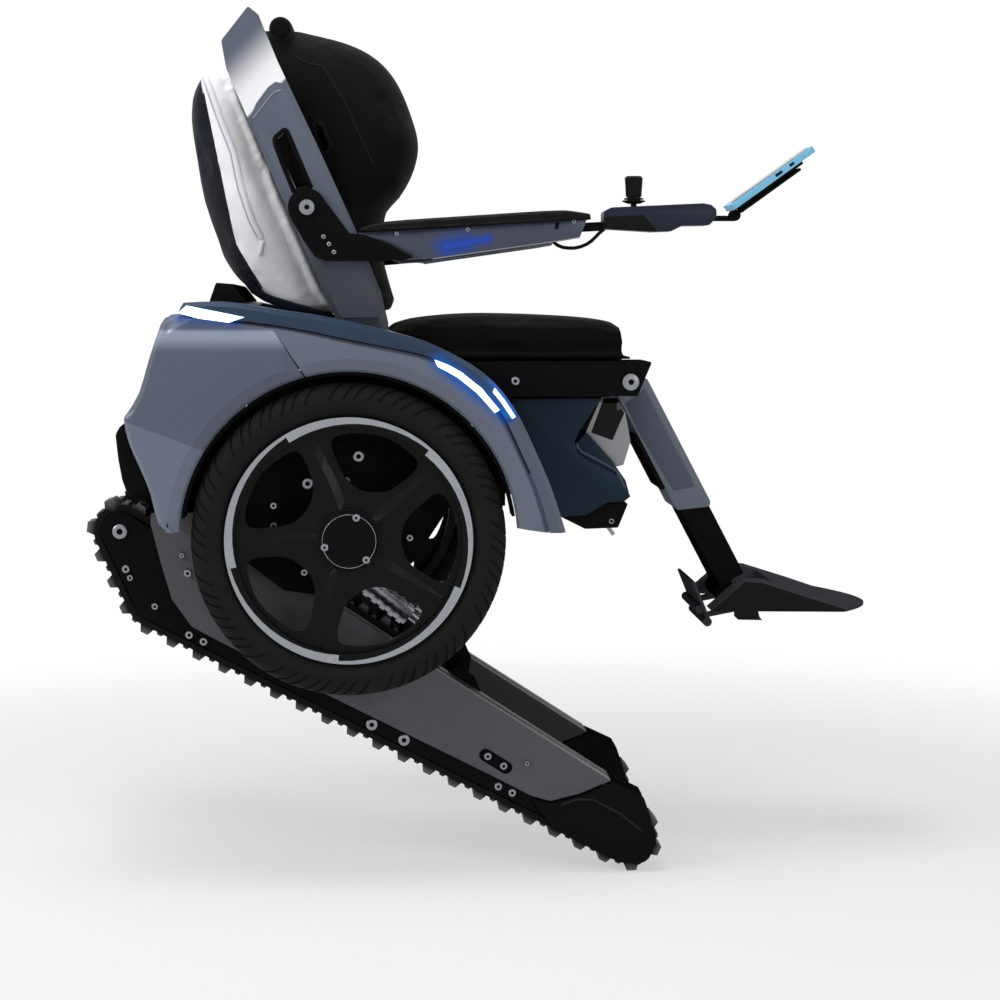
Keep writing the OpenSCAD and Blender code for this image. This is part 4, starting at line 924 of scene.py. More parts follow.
class Bench:
    """Blender's modelling operators, used on one object at a time."""

    WELD = 0.00002
    FACING = 0.9

    @staticmethod
    def rest() -> None:
        """Leaves edit mode and selects nothing."""
        if bpy.context.mode != "OBJECT":
            bpy.ops.object.mode_set(mode="OBJECT")
        bpy.ops.object.select_all(action="DESELECT")

    @classmethod
    def take(cls, obj: bpy.types.Object) -> bpy.types.Object:
        """Selects one object alone and makes it active.

        Args:
            obj: The object.

        Returns:
            The same object.
        """
        cls.rest()
        obj.select_set(True)
        bpy.context.view_layer.objects.active = obj
        return obj

    @classmethod
    @contextmanager
    def editing(cls, obj: bpy.types.Object, everything: bool = False) -> Iterator[None]:
        """Opens an object in edit mode.

        Args:
            obj: The object.
            everything: Whether all of it starts selected.

        Yields:
            Nothing, while edit mode is open.
        """
        cls.take(obj)
        bpy.ops.object.mode_set(mode="EDIT")
        bpy.ops.mesh.select_all(action="SELECT" if everything else "DESELECT")
        yield
        bpy.ops.object.mode_set(mode="OBJECT")

    @staticmethod
    def _pick(obj: bpy.types.Object, kind: str, test: Callable[[object], bool]) -> int:
        """Selects points, edges or faces in edit mode.

        Args:
            obj: The object in edit mode.
            kind: The select mode.
            test: Takes a point, an edge or a face.

        Returns:
            How many were chosen.
        """
        bpy.ops.mesh.select_mode(type=kind)
        mesh = bmesh.from_edit_mesh(obj.data)
        chosen = 0
        for part in {"VERT": mesh.verts, "EDGE": mesh.edges, "FACE": mesh.faces}[kind]:
            keep = test(part)
            part.select_set(keep)
            chosen += keep
        mesh.select_flush_mode()
        bmesh.update_edit_mesh(obj.data)
        return chosen

    @classmethod
    def pick_faces(cls, obj: bpy.types.Object, test: Callable[[Vector, Vector], bool]) -> int:
        """Selects faces by their centre and normal, and counts them."""
        return cls._pick(obj, "FACE", lambda face: test(face.calc_center_median(), face.normal))

    @classmethod
    def pick_points(cls, obj: bpy.types.Object, test: Callable[[Vector], bool]) -> int:
        """Selects points by their place, and counts them."""
        return cls._pick(obj, "VERT", lambda point: test(point.co))

    @classmethod
    def pick_edges(cls, obj: bpy.types.Object, test: Callable[[bmesh.types.BMEdge], bool]) -> int:
        """Selects edges, and counts them."""
        return cls._pick(obj, "EDGE", test)

    @staticmethod
    def _shape(obj: bpy.types.Object, goals: Sequence[Vector]) -> None:
        """Moves the points of an object in edit mode to their places, one by one.

        Args:
            obj: The object in edit mode.
            goals: The places, in the order of its points.
        """
        bpy.ops.mesh.select_mode(type="VERT")
        for index, goal in enumerate(goals):
            bpy.ops.mesh.select_all(action="DESELECT")
            mesh = bmesh.from_edit_mesh(obj.data)
            mesh.verts.ensure_lookup_table()
            point = mesh.verts[index]
            point.select_set(True)
            bpy.ops.transform.translate(value=goal - point.co)

    @classmethod
    def break_edges(cls, obj: bpy.types.Object, width: float, degrees: float = 25.0) -> None:
        """Bevels the edges that are sharper than an angle in degrees, by a width in metres."""
        cls.modify(obj, "BEVEL", width=width, segments=2, limit_method="ANGLE",
                   angle_limit=math.radians(degrees))

    @classmethod
    def ring(cls, name: str, centre: Vector, major: float, minor: float, counts: tuple[int, int],
             turn: Sequence[float] = UPRIGHT) -> bpy.types.Object:
        """Makes a round ring, about y unless it is turned otherwise.

        Args:
            name: Name of the piece.
            centre: Its middle.
            major: Radius of the ring in metres.
            minor: Radius of its section.
            counts: Points round the ring and round the section.
            turn: Its turn about x, y and z.

        Returns:
            The ring.
        """
        cls.rest()
        bpy.ops.mesh.primitive_torus_add(
            major_segments=counts[0], minor_segments=counts[1], major_radius=major, minor_radius=minor,
            location=centre, rotation=turn)
        return cls.settle(bpy.context.object, name)

    @classmethod
    def drum(cls, name: str, centre: Vector, radius: float, depth: float, sides: int) -> bpy.types.Object:
        """Makes a cylinder across the chair.

        Args:
            name: Name of the piece.
            centre: Its middle.
            radius: Its radius in metres.
            depth: Its length.
            sides: How many sides it has.

        Returns:
            The cylinder.
        """
        cls.rest()
        bpy.ops.mesh.primitive_cylinder_add(vertices=sides, radius=radius, depth=depth, location=centre,
                                            rotation=UPRIGHT)
        return cls.settle(bpy.context.object, name)

    @classmethod
    def panel(cls, name: str, rows: Sequence[Sequence[Vector]], thick: float,
              soft: float = 0.0) -> bpy.types.Object:
        """Shapes a grid point by point into a panel and gives it a thickness.

        Args:
            name: Name of the piece.
            rows: Rows of places in metres, all of one length.
            thick: Thickness in metres, half to either side.
            soft: Width of its broken edges in metres.

        Returns:
            The panel.
        """
        cls.rest()
        bpy.ops.mesh.primitive_grid_add(x_subdivisions=len(rows[0]) - 1, y_subdivisions=len(rows) - 1,
                                        size=1.0)
        panel = cls.settle(bpy.context.object, name)
        with cls.editing(panel):
            cls._shape(panel, [place for row in rows for place in row])
        cls.modify(panel, "SOLIDIFY", thickness=thick, offset=0.0)
        cls.face_out(panel)
        if soft:
            cls.break_edges(panel, soft)
        cls.smooth(panel, 25.0)
        return panel

    @classmethod
    def plate(cls, name: str, outline: Sequence[tuple[float, float]], inner: float, outer: float,
              soft: float) -> bpy.types.Object:
        """Shapes a filled polygon into an outline of the side view and draws it out across the chair.

        Args:
            name: Name of the piece.
            outline: Corners, x and z in millimetres from the axle.
            inner: Where it starts across the chair, in millimetres.
            outer: Where it ends.
            soft: Width of its broken edges in millimetres.

        Returns:
            The plate.
        """
        cls.rest()
        bpy.ops.mesh.primitive_circle_add(vertices=len(outline), radius=MM, fill_type="NGON")
        plate = cls.settle(bpy.context.object, name)
        with cls.editing(plate):
            cls._shape(plate, [DATUM.at(x, inner, z) for x, z in outline])
            bpy.ops.mesh.select_all(action="SELECT")
            bpy.ops.mesh.extrude_region_move(
                TRANSFORM_OT_translate={"value": (0.0, (outer - inner) * MM, 0.0)})
        cls.face_out(plate)
        cls.break_edges(plate, soft * MM)
        cls.smooth(plate, 30.0)
        return plate

    @classmethod
    def bar(cls, name: str, size: Vector, centre: Vector, lean: float, soft: float) -> bpy.types.Object:
        """Makes a block with broken edges, leaning in the side view.

        Args:
            name: Name of the piece.
            size: Its length, width and height in metres.
            centre: Its middle.
            lean: Its turn about y in degrees, which lowers its front.
            soft: Width of its broken edges in metres.

        Returns:
            The block.
        """
        cls.rest()
        bpy.ops.mesh.primitive_cube_add(size=1.0, location=centre, rotation=(0.0, math.radians(lean), 0.0))
        bpy.context.object.scale = size
        block = cls.settle(bpy.context.object, name)
        with cls.editing(block, everything=True):
            bpy.ops.mesh.bevel(offset=soft, segments=3, affect="EDGES")
        cls.smooth(block, 35.0)
        return block

    @classmethod
    def join(cls, pieces: Sequence[bpy.types.Object], name: str) -> bpy.types.Object:
        """Joins pieces into one.

        Args:
            pieces: The pieces.
            name: Name of the whole.

        Returns:
            The joined piece.
        """
        cls.take(pieces[0])
        for piece in pieces[1:]:
            piece.select_set(True)
        bpy.ops.object.join()
        return cls.settle(bpy.context.object, name)

    @staticmethod
    def on_side(name: str, x: float, z: float, side: Side) -> tuple[Vector, Vector] | None:
        """The place and normal of a piece's side at a point of the side view.

        Args:
            name: Name of the piece.
            x: Millimetres in front of the axle.
            z: Millimetres above it.
            side: Which side is looked at.

        Returns:
            The place and its normal, or nothing where the piece isn't met.
        """
        start = DATUM.at(x, side.value / MM, z)
        hit, place, normal, _ = bpy.data.objects[name].ray_cast(start, Vector((0.0, -side.value, 0.0)))
        return (place, normal) if hit else None

    @classmethod
    def laid_on(cls, name: str, route: Sequence[tuple[float, float]], side: Side, sunk: float,
                steps: int) -> list[Vector]:
        """Lays a route of the side view on a piece's side.

        Args:
            name: Name of the piece.
            route: Corners of the route, x and z in millimetres from the axle.
            side: Which side it is laid on.
            sunk: How deep it lies under the surface, in millimetres.
            steps: Places per stretch of the route.

        Returns:
            The places on the piece.
        """
        bpy.context.view_layer.update()
        places = []
        for (x0, z0), (x1, z1) in zip(route, route[1:]):
            for step in range(steps):
                share = step / steps
                found = cls.on_side(name, x0 + (x1 - x0) * share, z0 + (z1 - z0) * share, side)
                if found:
                    places.append(found[0] - found[1] * sunk * MM)
        return places

    @classmethod
    def tube(cls, name: str, places: Sequence[Vector], radius: float) -> bpy.types.Object:
        """Makes a round strand through places.

        Args:
            name: Name of the piece.
            places: The strand's route in metres.
            radius: Its radius in metres.

        Returns:
            The strand, as a closed mesh.
        """
        cls.rest()
        bpy.ops.curve.primitive_nurbs_path_add()
        strand = bpy.context.object
        strand.data.splines.clear()
        route = strand.data.splines.new("POLY")
        route.points.add(len(places) - 1)
        for point, place in zip(route.points, places):
            point.co = (*place, 1.0)
        strand.data.bevel_depth = radius
        strand.data.bevel_resolution = 3
        strand.data.use_fill_caps = True
        cls.take(strand)
        bpy.ops.object.convert(target="MESH")
        made = cls.settle(bpy.context.object, name)
        cls.face_out(made)
        cls.smooth(made, 40.0)
        return made

    @classmethod
    def copy_of(cls, node: str, name: str) -> bpy.types.Object:
        """Copies a node's mesh into a new object with its doubles merged.

        Args:
            node: The CAD node.
            name: Name of the new piece.

        Returns:
            The new object.
        """
        mesh = frame["nodes"][node].data.copy()
        mesh.name = name
        obj = bpy.data.objects.new(name, mesh)
        bpy.context.scene.collection.objects.link(obj)
        with cls.editing(obj, everything=True):
            bpy.ops.mesh.remove_doubles(threshold=cls.WELD)
        return obj

    @classmethod
    def modify(cls, obj: bpy.types.Object, kind: str, **settings: object) -> None:
        """Adds a modifier, sets it up and applies it.

        Args:
            obj: The object.
            kind: The modifier's type.
            settings: Its properties.
        """
        cls.take(obj)
        added = obj.modifiers.new(kind.lower(), kind)
        for key, value in settings.items():
            setattr(added, key, value)
        bpy.ops.object.modifier_apply(modifier=added.name)

    @classmethod
    def smooth(cls, obj: bpy.types.Object, degrees: float = 35.0) -> None:
        """Shades an object smooth but for its sharp edges."""
        cls.take(obj)
        bpy.ops.object.shade_smooth_by_angle(angle=math.radians(degrees))

    @classmethod
    def settle(cls, obj: bpy.types.Object, name: str) -> bpy.types.Object:
        """Puts an object's place into its mesh and names it.

        Args:
            obj: The object.
            name: Its new name.

        Returns:
            The same object.
        """
        cls.take(obj)
        bpy.ops.object.transform_apply(location=True, rotation=True, scale=True)
        obj.name = name
        obj.data.name = name
        return obj

    @classmethod
    def face_out(cls, obj: bpy.types.Object) -> None:
        """Merges doubles and turns all faces outwards.

        Args:
            obj: The object.
        """
        with cls.editing(obj, everything=True):
            bpy.ops.mesh.remove_doubles(threshold=cls.WELD)
            bpy.ops.mesh.normals_make_consistent(inside=False)


@dataclass
class Shop:
    """What every sub-assembly needs to make its pieces."""

    wardrobe: Wardrobe

    def finish(self, obj: bpy.types.Object, finish: Finish, body: str, slot: str,
               stands_for: Sequence[str] = ()) -> bpy.types.Object:
        """Dresses a new piece and lets it ride.

        Args:
            obj: The piece.
            finish: Its finish.
            body: The body that carries it.
            slot: The record's material slot; not used.
            stands_for: CAD nodes that it replaces.

        Returns:
            The piece.
        """
        self.wardrobe.put_on(obj, finish)
        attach(obj, body)
        if stands_for:
            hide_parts(*stands_for)
        LOG.info("%s on %s, %d faces", obj.name, body, len(obj.data.polygons))
        return obj

    def stand_in(self, obj: bpy.types.Object, node: str) -> bpy.types.Object:
        """Lets a piece take a hard node's place, with the node's own body and finish."""
        return self.finish(obj, FINISH_OF[node], frame["nodes"][node]["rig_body"], SLOT_OF[node], (node,))


# Wheels


@dataclass
class Wheel:
    """One wheel's tyre, with its tread cut into it."""

    shop: Shop
    side: Side
    blocks: int = 72
    cells: int = 4
    ring_points: int = 40
    groove_depth: float = 2.6
    tread_half_angle: float = 82.0
    sweep: float = 7.0
    seat_depth: float = 3.0

    def build(self) -> None:
        """Makes the tyre of this wheel."""
        word = self.side.word
        low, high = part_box(f"tyre_{word}")
        centre = (low + high) / 2
        outer = (high.z - low.z) / 2
        inner_low, inner_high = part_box(f"rim_{word}")
        inner = (inner_high.z - inner_low.z) / 2
        half_height = (outer - inner) / 2 + self.seat_depth * MM
        half_width = (high.y - low.y) / 2
        ring = outer - half_height
        tyre = Bench.ring(f"tyre_{word}_tread", centre, ring, half_height,
                          (self.blocks * self.cells, self.ring_points))
        self._widen(tyre, centre, half_width / half_height)
        self._cut_grooves(tyre, centre, ring)
        self._sweep_grooves(tyre, centre, ring)
        Bench.face_out(tyre)
        Bench.smooth(tyre, 32.0)
        self.shop.finish(tyre, TYRE_RUBBER, f"wheel_{word}", "tyre_black", (f"tyre_{word}",))

    @staticmethod
    def _widen(tyre: bpy.types.Object, centre: Vector, share: float) -> None:
        """Scales the tyre across to its real width."""
        with Bench.editing(tyre, everything=True):
            bpy.ops.transform.resize(value=(1.0, share, 1.0), center_override=centre)

    @staticmethod
    def _turns(point: Vector, centre: Vector, ring: float) -> tuple[float, float]:
        """Turn round the axle and turn round the tyre's section, in degrees.

        Args:
            point: A place on the tyre.
            centre: The wheel's middle.
            ring: Radius to the middle of the section.

        Returns:
            The two turns.
        """
        off = point - centre
        round_axle = math.degrees(math.atan2(off.z, off.x)) % 360.0
        out = math.hypot(off.x, off.z) - ring
        return round_axle, math.degrees(math.atan2(abs(off.y), out))

    def _cut_grooves(self, tyre: bpy.types.Object, centre: Vector, ring: float) -> None:
        """Sinks one cell in each block as a groove across the tread.

        Args:
            tyre: The tyre.
            centre: The wheel's middle.
            ring: Radius to the middle of the section.
        """
        step = 360.0 / (self.blocks * self.cells)

        def in_groove(place: Vector, _: Vector) -> bool:
            """Whether a face lies in a groove."""
            turn, lean = self._turns(place, centre, ring)
            return lean < self.tread_half_angle and int(turn / step) % self.cells == 0

        with Bench.editing(tyre):
            Bench.pick_faces(tyre, in_groove)
            bpy.ops.mesh.extrude_region_shrink_fatten(
                TRANSFORM_OT_shrink_fatten={"value": -self.groove_depth * MM})

    def _sweep_grooves(self, tyre: bpy.types.Object, centre: Vector, ring: float) -> None:
        """Turns each ring of points about the axle, so that the grooves slant back to the shoulders.

        Args:
            tyre: The tyre.
            centre: The wheel's middle.
            ring: Radius to the middle of the section.
        """
        lean_step = 360.0 / self.ring_points
        rings = int(180.0 / lean_step)
        with Bench.editing(tyre):
            for i in range(1, rings + 1):
                def on_ring(place: Vector, at: int = i) -> bool:
                    """Whether a point lies on this ring."""
                    lean = self._turns(place, centre, ring)[1]
                    return round(lean / lean_step) == at

                if Bench.pick_points(tyre, on_ring):
                    turn = math.radians(self.sweep) * min(i * lean_step / self.tread_half_angle, 1.0)
                    bpy.ops.transform.rotate(value=turn, orient_axis="Y", center_override=centre)


# Hard pieces


@dataclass(frozen=True)
class Broken:
    """A hard node whose sharp edges are broken, with the width of the break in millimetres.

    A corner is a wider rounding of the sharp edges that run across the chair.
    """

    node: str
    width: float = 1.2
    corner: float = 0.0
    angle: float = 28.0


@dataclass
class EdgeWork:
    """Hard nodes with their edges broken, so that they catch the light."""

    shop: Shop
    rows: tuple[Broken, ...] = (
        Broken("back_wings", 1.6, 7.0), Broken("arm_rail_right", 1.6), Broken("arm_rail_left", 1.6),
        Broken("arm_bracket_right", 1.2), Broken("arm_bracket_left", 1.2), Broken("leg_sleeve", 1.4, 4.0),
        Broken("leg_tube", 1.4), Broken("control_box", 1.6, 3.0), Broken("track_covers", 1.4),
        Broken("track_nose_caps", 2.0, 5.0), Broken("seat_frame", 1.0), Broken("front_lamp_pod", 2.0, 5.0),
        Broken("front_lower_cap", 2.0), Broken("rear_bumper", 4.0), Broken("rear_handle", 3.0),
        Broken("footplate", 1.4), Broken("phone", 1.6), Broken("front_housing", 1.5),
    )
    flat: float = 0.6
    across: float = 0.95
    corner_angle: float = 35.0

    def build(self) -> None:
        """Makes every row."""
        for row in self.rows:
            piece = Bench.copy_of(row.node, f"{row.node}_edged")
            with Bench.editing(piece, everything=True):
                bpy.ops.mesh.dissolve_limited(angle_limit=math.radians(self.flat))
                if row.corner and Bench.pick_edges(piece, self._crosswise):
                    bpy.ops.mesh.bevel(offset=row.corner * MM, segments=4, affect="EDGES",
                                       clamp_overlap=True)
            Bench.break_edges(piece, row.width * MM, row.angle)
            Bench.smooth(piece, row.angle)
            self.shop.stand_in(piece, row.node)

    def _crosswise(self, edge: bmesh.types.BMEdge) -> bool:
        """Whether an edge is sharp and runs across the chair.

        Args:
            edge: The edge.

        Returns:
            Whether it is.
        """
        way = edge.verts[1].co - edge.verts[0].co
        sharp = edge.calc_face_angle(0.0) > math.radians(self.corner_angle)
        return abs(way.y) > self.across * way.length and sharp


@dataclass
class SmoothSkins:
    """Moulded skins shaded as the smooth curves that they are."""

    shop: Shop
    nodes: tuple[str, ...] = ("rear_fenders", "front_fenders", "top_rails")
    crease: float = 17.0

    def build(self) -> None:
        """Makes each skin."""
        for node in self.nodes:
            skin = Bench.copy_of(node, f"{node}_skin")
            Bench.smooth(skin, self.crease)
            self.shop.stand_in(skin, node)


@dataclass
class Belt:
    """One track belt with its lugs marked, so that they are painted paler than the band."""

    shop: Shop
    side: Side
    kink: tuple[float, float] = (-330.0, -110.0)
    run: float = 911.0
    slope: float = 27.4
    sprocket: tuple[float, float] = (-0.112, 0.089)
    radius: float = 44.0
    lug_from: float = 1.0
    lug_to: float = 5.0

    def build(self) -> None:
        """Copies the belt and marks each point by its height above the band."""
        node = f"track_belt_{self.side.word}"
        belt = Bench.copy_of(node, f"{node}_lugs")
        mark = belt.data.attributes.new(LUG_MARK, "FLOAT", "POINT")
        span = self.lug_to - self.lug_from
        for point, cell in zip(belt.data.vertices, mark.data):
            cell.value = min(max((self._height(point.co) - self.lug_from) / span, 0.0), 1.0)
        Bench.smooth(belt, 28.0)
        self.shop.stand_in(belt, node)

    def _axles(self) -> list[Vector]:
        """The three pulley axles in the side view, in millimetres.

        Returns:
            Places from the wheel's axle.
        """
        turn = math.radians(self.slope)
        ahead = Vector((math.cos(turn), -math.sin(turn)))
        up = Vector((math.sin(turn), math.cos(turn)))
        start = Vector(self.kink)
        raised = start + (ahead * self.sprocket[0] + up * self.sprocket[1]) * self.run
        return [start, start + ahead * self.run, raised]

    def _height(self, place: Vector) -> float:
        """Height of a point above the band's outer face, in millimetres.

        Args:
            place: The point, in metres.

        Returns:
            Its height.
        """
        off = (place - DATUM.axle) / MM
        spot = Vector((off.x, off.z))
        axles = self._axles()
        gaps = []
        for start, end in zip(axles, axles[1:] + axles[:1]):
            leg = end - start
            share = min(max((spot - start).dot(leg) / leg.length_squared, 0.0), 1.0)
            gaps.append((spot - start - leg * share).length)
        return min(gaps) - self.radius


@dataclass(frozen=True)
class Spot:
    """Where a screw head sits, in metres, and which way it faces along y."""

    centre: Vector
    radius: float
    height: float
    out: float


@dataclass
class Screws:
    """Socket screws in place of plain bolt heads, and small ones on the arms and hubs."""

    shop: Shop
    sides: int = 18
    rim_share: float = 0.14
    wall_share: float = 0.42
    crown_share: float = 0.25
    socket_share: float = 0.7
    rail_face: float = 285.0
    bracket_face: float = 293.0
    rail_spots: Route = ((81.0, 503.5), (198.0, 510.5), (374.0, 524.0))
    bracket_spots: Route = ((-39.0, 498.0), (-30.0, 486.0), (-22.0, 473.0))
    small_radius: float = 3.6
    small_height: float = 1.6
    cap_share: float = 0.8
    plug_share: float = 0.15
    plug_size: float = 0.5
    plug_depth: float = 0.2
    plug_rim: float = 0.3
    plug_dish: float = 0.08
    plug_sides: int = 6
    seat_spot: tuple[float, float] = (281.0, 258.0)
    seat_size: tuple[float, float] = (7.0, 3.0)
    hub_spots: Route = ((12.1, 39.3), (-40.1, -9.2), (28.0, -30.2))
    hub_size: tuple[float, float] = (5.4, 1.4)
    hub_rise: float = 3.0

    def build(self) -> None:
        """Makes the heads on the chassis, the tracks, the hubs, the seat bars, the pivots and both arms."""
        for node in ("chassis_bolts", "track_bolts"):
            self._set(f"{node}_heads", self._spots(node), frame["nodes"][node]["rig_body"], (node,))
        for node in ("arm_pivots", "leg_pivot"):
            self._set(f"{node}_caps", self._ends(node), frame["nodes"][node]["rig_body"])
        for side in Side:
            self._set(f"arm_{side.word}_screws", self._arm_spots(side), f"arm_{side.word}")
            self._set(f"hub_bolts_{side.word}", self._hub_spots(side), f"wheel_{side.word}")
        self._set("seat_bolts", self._seat_spots(), "seat")

    def _set(self, name: str, spots: Sequence[Spot], body: str, stands_for: tuple[str, ...] = ()) -> None:
        """Makes one set of heads with dark socket floors as painted shade.

        Args:
            name: Name of the set.
            spots: Where the heads sit.
            body: What carries them.
            stands_for: Node that they replace.
        """
        heads = self._join([self._head(spot) for spot in spots], name)
        self.shop.finish(heads, STEEL, body, "bolt_steel", stands_for)
        # dark socket floors: painted shade in the hollows of the heads
        socket_shades = self._join([self._plug(spot) for spot in spots], f"{name}_sockets")
        self.shop.finish(socket_shades, BLACK_STEEL, body, "trim_black")

    def _hub_spots(self, side: Side) -> list[Spot]:
        """The heads of the bolts round one hub cap.

        Args:
            side: Which wheel.

        Returns:
            Where the heads sit.
        """
        low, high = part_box(f"hub_cap_{side.word}")
        middle = (low + high) / 2
        radius, height = (value * MM for value in self.hub_size)
        face = side.face(low, high) + side.value * (self.hub_rise * MM + height / 2)
        return [Spot(Vector((middle.x + x * MM, face, middle.z + z * MM)), radius, height, side.value)
                for x, z in self.hub_spots]

    def _seat_spots(self) -> list[Spot]:
        """The bolt of each seat bar.

        Returns:
            Where the heads sit.
        """
        low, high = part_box("seat_frame")
        x, z = self.seat_spot
        radius, height = (value * MM for value in self.seat_size)
        spots = []
        for side in Side:
            place = DATUM.at(x, 0.0, z)
            place.y = side.face(low, high) + side.value * height / 2
            spots.append(Spot(place, radius, height, side.value))
        return spots

    def _ends(self, node: str) -> list[Spot]:
        """A cap on each outer end of a node's shafts.

        Args:
            node: The CAD node.

        Returns:
            Where the caps sit.
        """
        low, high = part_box(node)
        spots = []
        for side in Side:
            end = side.face(low, high)
            near = [v.co for v in frame["nodes"][node].data.vertices if abs(v.co.y - end) < MM]
            mid = sum(near, Vector()) / len(near)
            radius = max(math.hypot(p.x - mid.x, p.z - mid.z) for p in near) * self.cap_share
            height = self.small_height * MM
            centre = Vector((mid.x, end + side.value * height / 2, mid.z))
            spots.append(Spot(centre, radius, height, side.value))
        return spots

    def _arm_spots(self, side: Side) -> list[Spot]:
        """The small screws of one arm.

        Args:
            side: Which arm.

        Returns:
            Where the heads sit.
        """
        rows = [(x, z, self.rail_face) for x, z in self.rail_spots]
        rows += [(x, z, self.bracket_face) for x, z in self.bracket_spots]
        out = float(side.value)
        lift = self.small_height / 2
        return [Spot(DATUM.at(x, out * (face + lift), z), self.small_radius * MM, self.small_height * MM, out)
                for x, z, face in rows]

    @staticmethod
    def _spots(node: str) -> list[Spot]:
        """Place and size of each plain head of a node.

        Args:
            node: The CAD node.

        Returns:
            Where the heads sit.
        """
        spare = Bench.copy_of(node, f"{node}_spare")
        with Bench.editing(spare, everything=True):
            bpy.ops.mesh.separate(type="LOOSE")
        found = []
        for head in list(bpy.context.selected_objects):
            points = [v.co for v in head.data.vertices]
            low = Vector([min(p[i] for p in points) for i in range(3)])
            high = Vector([max(p[i] for p in points) for i in range(3)])
            centre = (low + high) / 2
            found.append(Spot(centre, (high.z - low.z) / 2, high.y - low.y, math.copysign(1.0, centre.y)))
            bpy.data.objects.remove(head)
        return found

    def _plug(self, spot: Spot) -> bpy.types.Object:
        """Turns a six-sided prism into the dark floor of a screw's socket, as painted shade in the hollow.

        Args:
            spot: Where its head sits.

        Returns:
            The floor.
        """
        centre = spot.centre + Vector((0.0, spot.out * spot.height * self.plug_share, 0.0))
        radius = spot.radius * self.plug_size
        plug = Bench.drum("screw_plug", centre, radius, spot.height * self.plug_depth, self.plug_sides)
        with Bench.editing(plug):
            self._pick_outer(plug, spot)
            bpy.ops.mesh.inset(thickness=radius * self.plug_rim)
            bpy.ops.transform.translate(value=(0.0, -spot.out * spot.height * self.plug_dish, 0.0))
        return plug

    @staticmethod
    def _pick_outer(piece: bpy.types.Object, spot: Spot) -> None:
        """Selects the outer face of a screw's piece."""
        Bench.pick_faces(piece, lambda _, normal: normal.y * spot.out > Bench.FACING)

    def _head(self, spot: Spot) -> bpy.types.Object:
        """Turns a cylinder into a screw head with a crowned edge and a socket.

        Args:
            spot: Where it sits.

        Returns:
            The head.
        """
        head = Bench.drum("screw_head", spot.centre, spot.radius, spot.height, self.sides)
        crown = spot.out * spot.height * self.crown_share
        socket = -spot.out * spot.height * self.socket_share
        with Bench.editing(head):
            self._pick_outer(head, spot)
            bpy.ops.mesh.inset(thickness=spot.radius * self.rim_share)
            bpy.ops.transform.translate(value=(0.0, crown, 0.0))
            bpy.ops.mesh.inset(thickness=spot.radius * self.wall_share)
            bpy.ops.mesh.extrude_region_move(TRANSFORM_OT_translate={"value": (0.0, socket, 0.0)})
        return head

    @staticmethod
    def _join(heads: list[bpy.types.Object], name: str) -> bpy.types.Object:
        """Joins heads into one piece.

        Args:
            heads: The heads.
            name: Name of the piece.

        Returns:
            The piece.
        """
        joined = Bench.join(heads, name)
        Bench.smooth(joined, 30.0)
        return joined


# Trim


@dataclass
class ArmSkin:
    """The folded outer skin of one arm rail, which hides the slide of the control bar."""

    shop: Shop
    side: Side
    face: float = 283.4
    fold: float = 3.0
    thick: float = 2.0
    skin_edge: float = 0.6
    hem_radius: float = 1.3
    slot_sunk: float = 1.0
    slot_out: float = 4.2
    slot_edge: float = 0.3
    slot: Route = ((344.0, 523.0), (350.5, 522.0), (347.5, 510.5), (342.0, 511.5))
    top: Route = ((24.0, 503.6), (110.0, 509.4), (140.0, 511.4), (354.0, 526.0), (396.0, 528.8))
    ridge: Route = ((24.4, 497.0), (110.0, 494.0), (140.0, 494.0), (354.0, 511.0), (391.0, 516.0))
    foot: Route = ((25.0, 491.4), (110.0, 466.0), (140.0, 462.4), (354.0, 493.0), (384.0, 498.2))

    def build(self) -> None:
        """Makes the skin."""
        out = self.side.value
        rows = [
            [DATUM.at(x, out * self.face, z) for x, z in self.top],
            [DATUM.at(x, out * (self.face + self.fold), z) for x, z in self.ridge],
            [DATUM.at(x, out * self.face, z) for x, z in self.foot],
        ]
        word = self.side.word
        skin = Bench.panel(f"arm_{word}_skin", rows, self.thick * MM, self.skin_edge * MM)
        self.shop.finish(skin, ARM_SILVER, f"arm_{word}", "silver_paint")
        # a bright silver strand along the skin's lower fold: a painted highlight
        hem = Bench.tube(f"arm_{word}_hem", rows[2][2:], self.hem_radius * MM)
        self.shop.finish(hem, POD_SILVER, f"arm_{word}", "silver_paint")
        slot = Bench.plate(f"arm_{word}_slot", self.slot, out * (self.face - self.slot_sunk),
                           out * (self.face + self.slot_out), self.slot_edge)
        self.shop.finish(slot, BLACK_PLASTIC, f"arm_{word}", "trim_black")


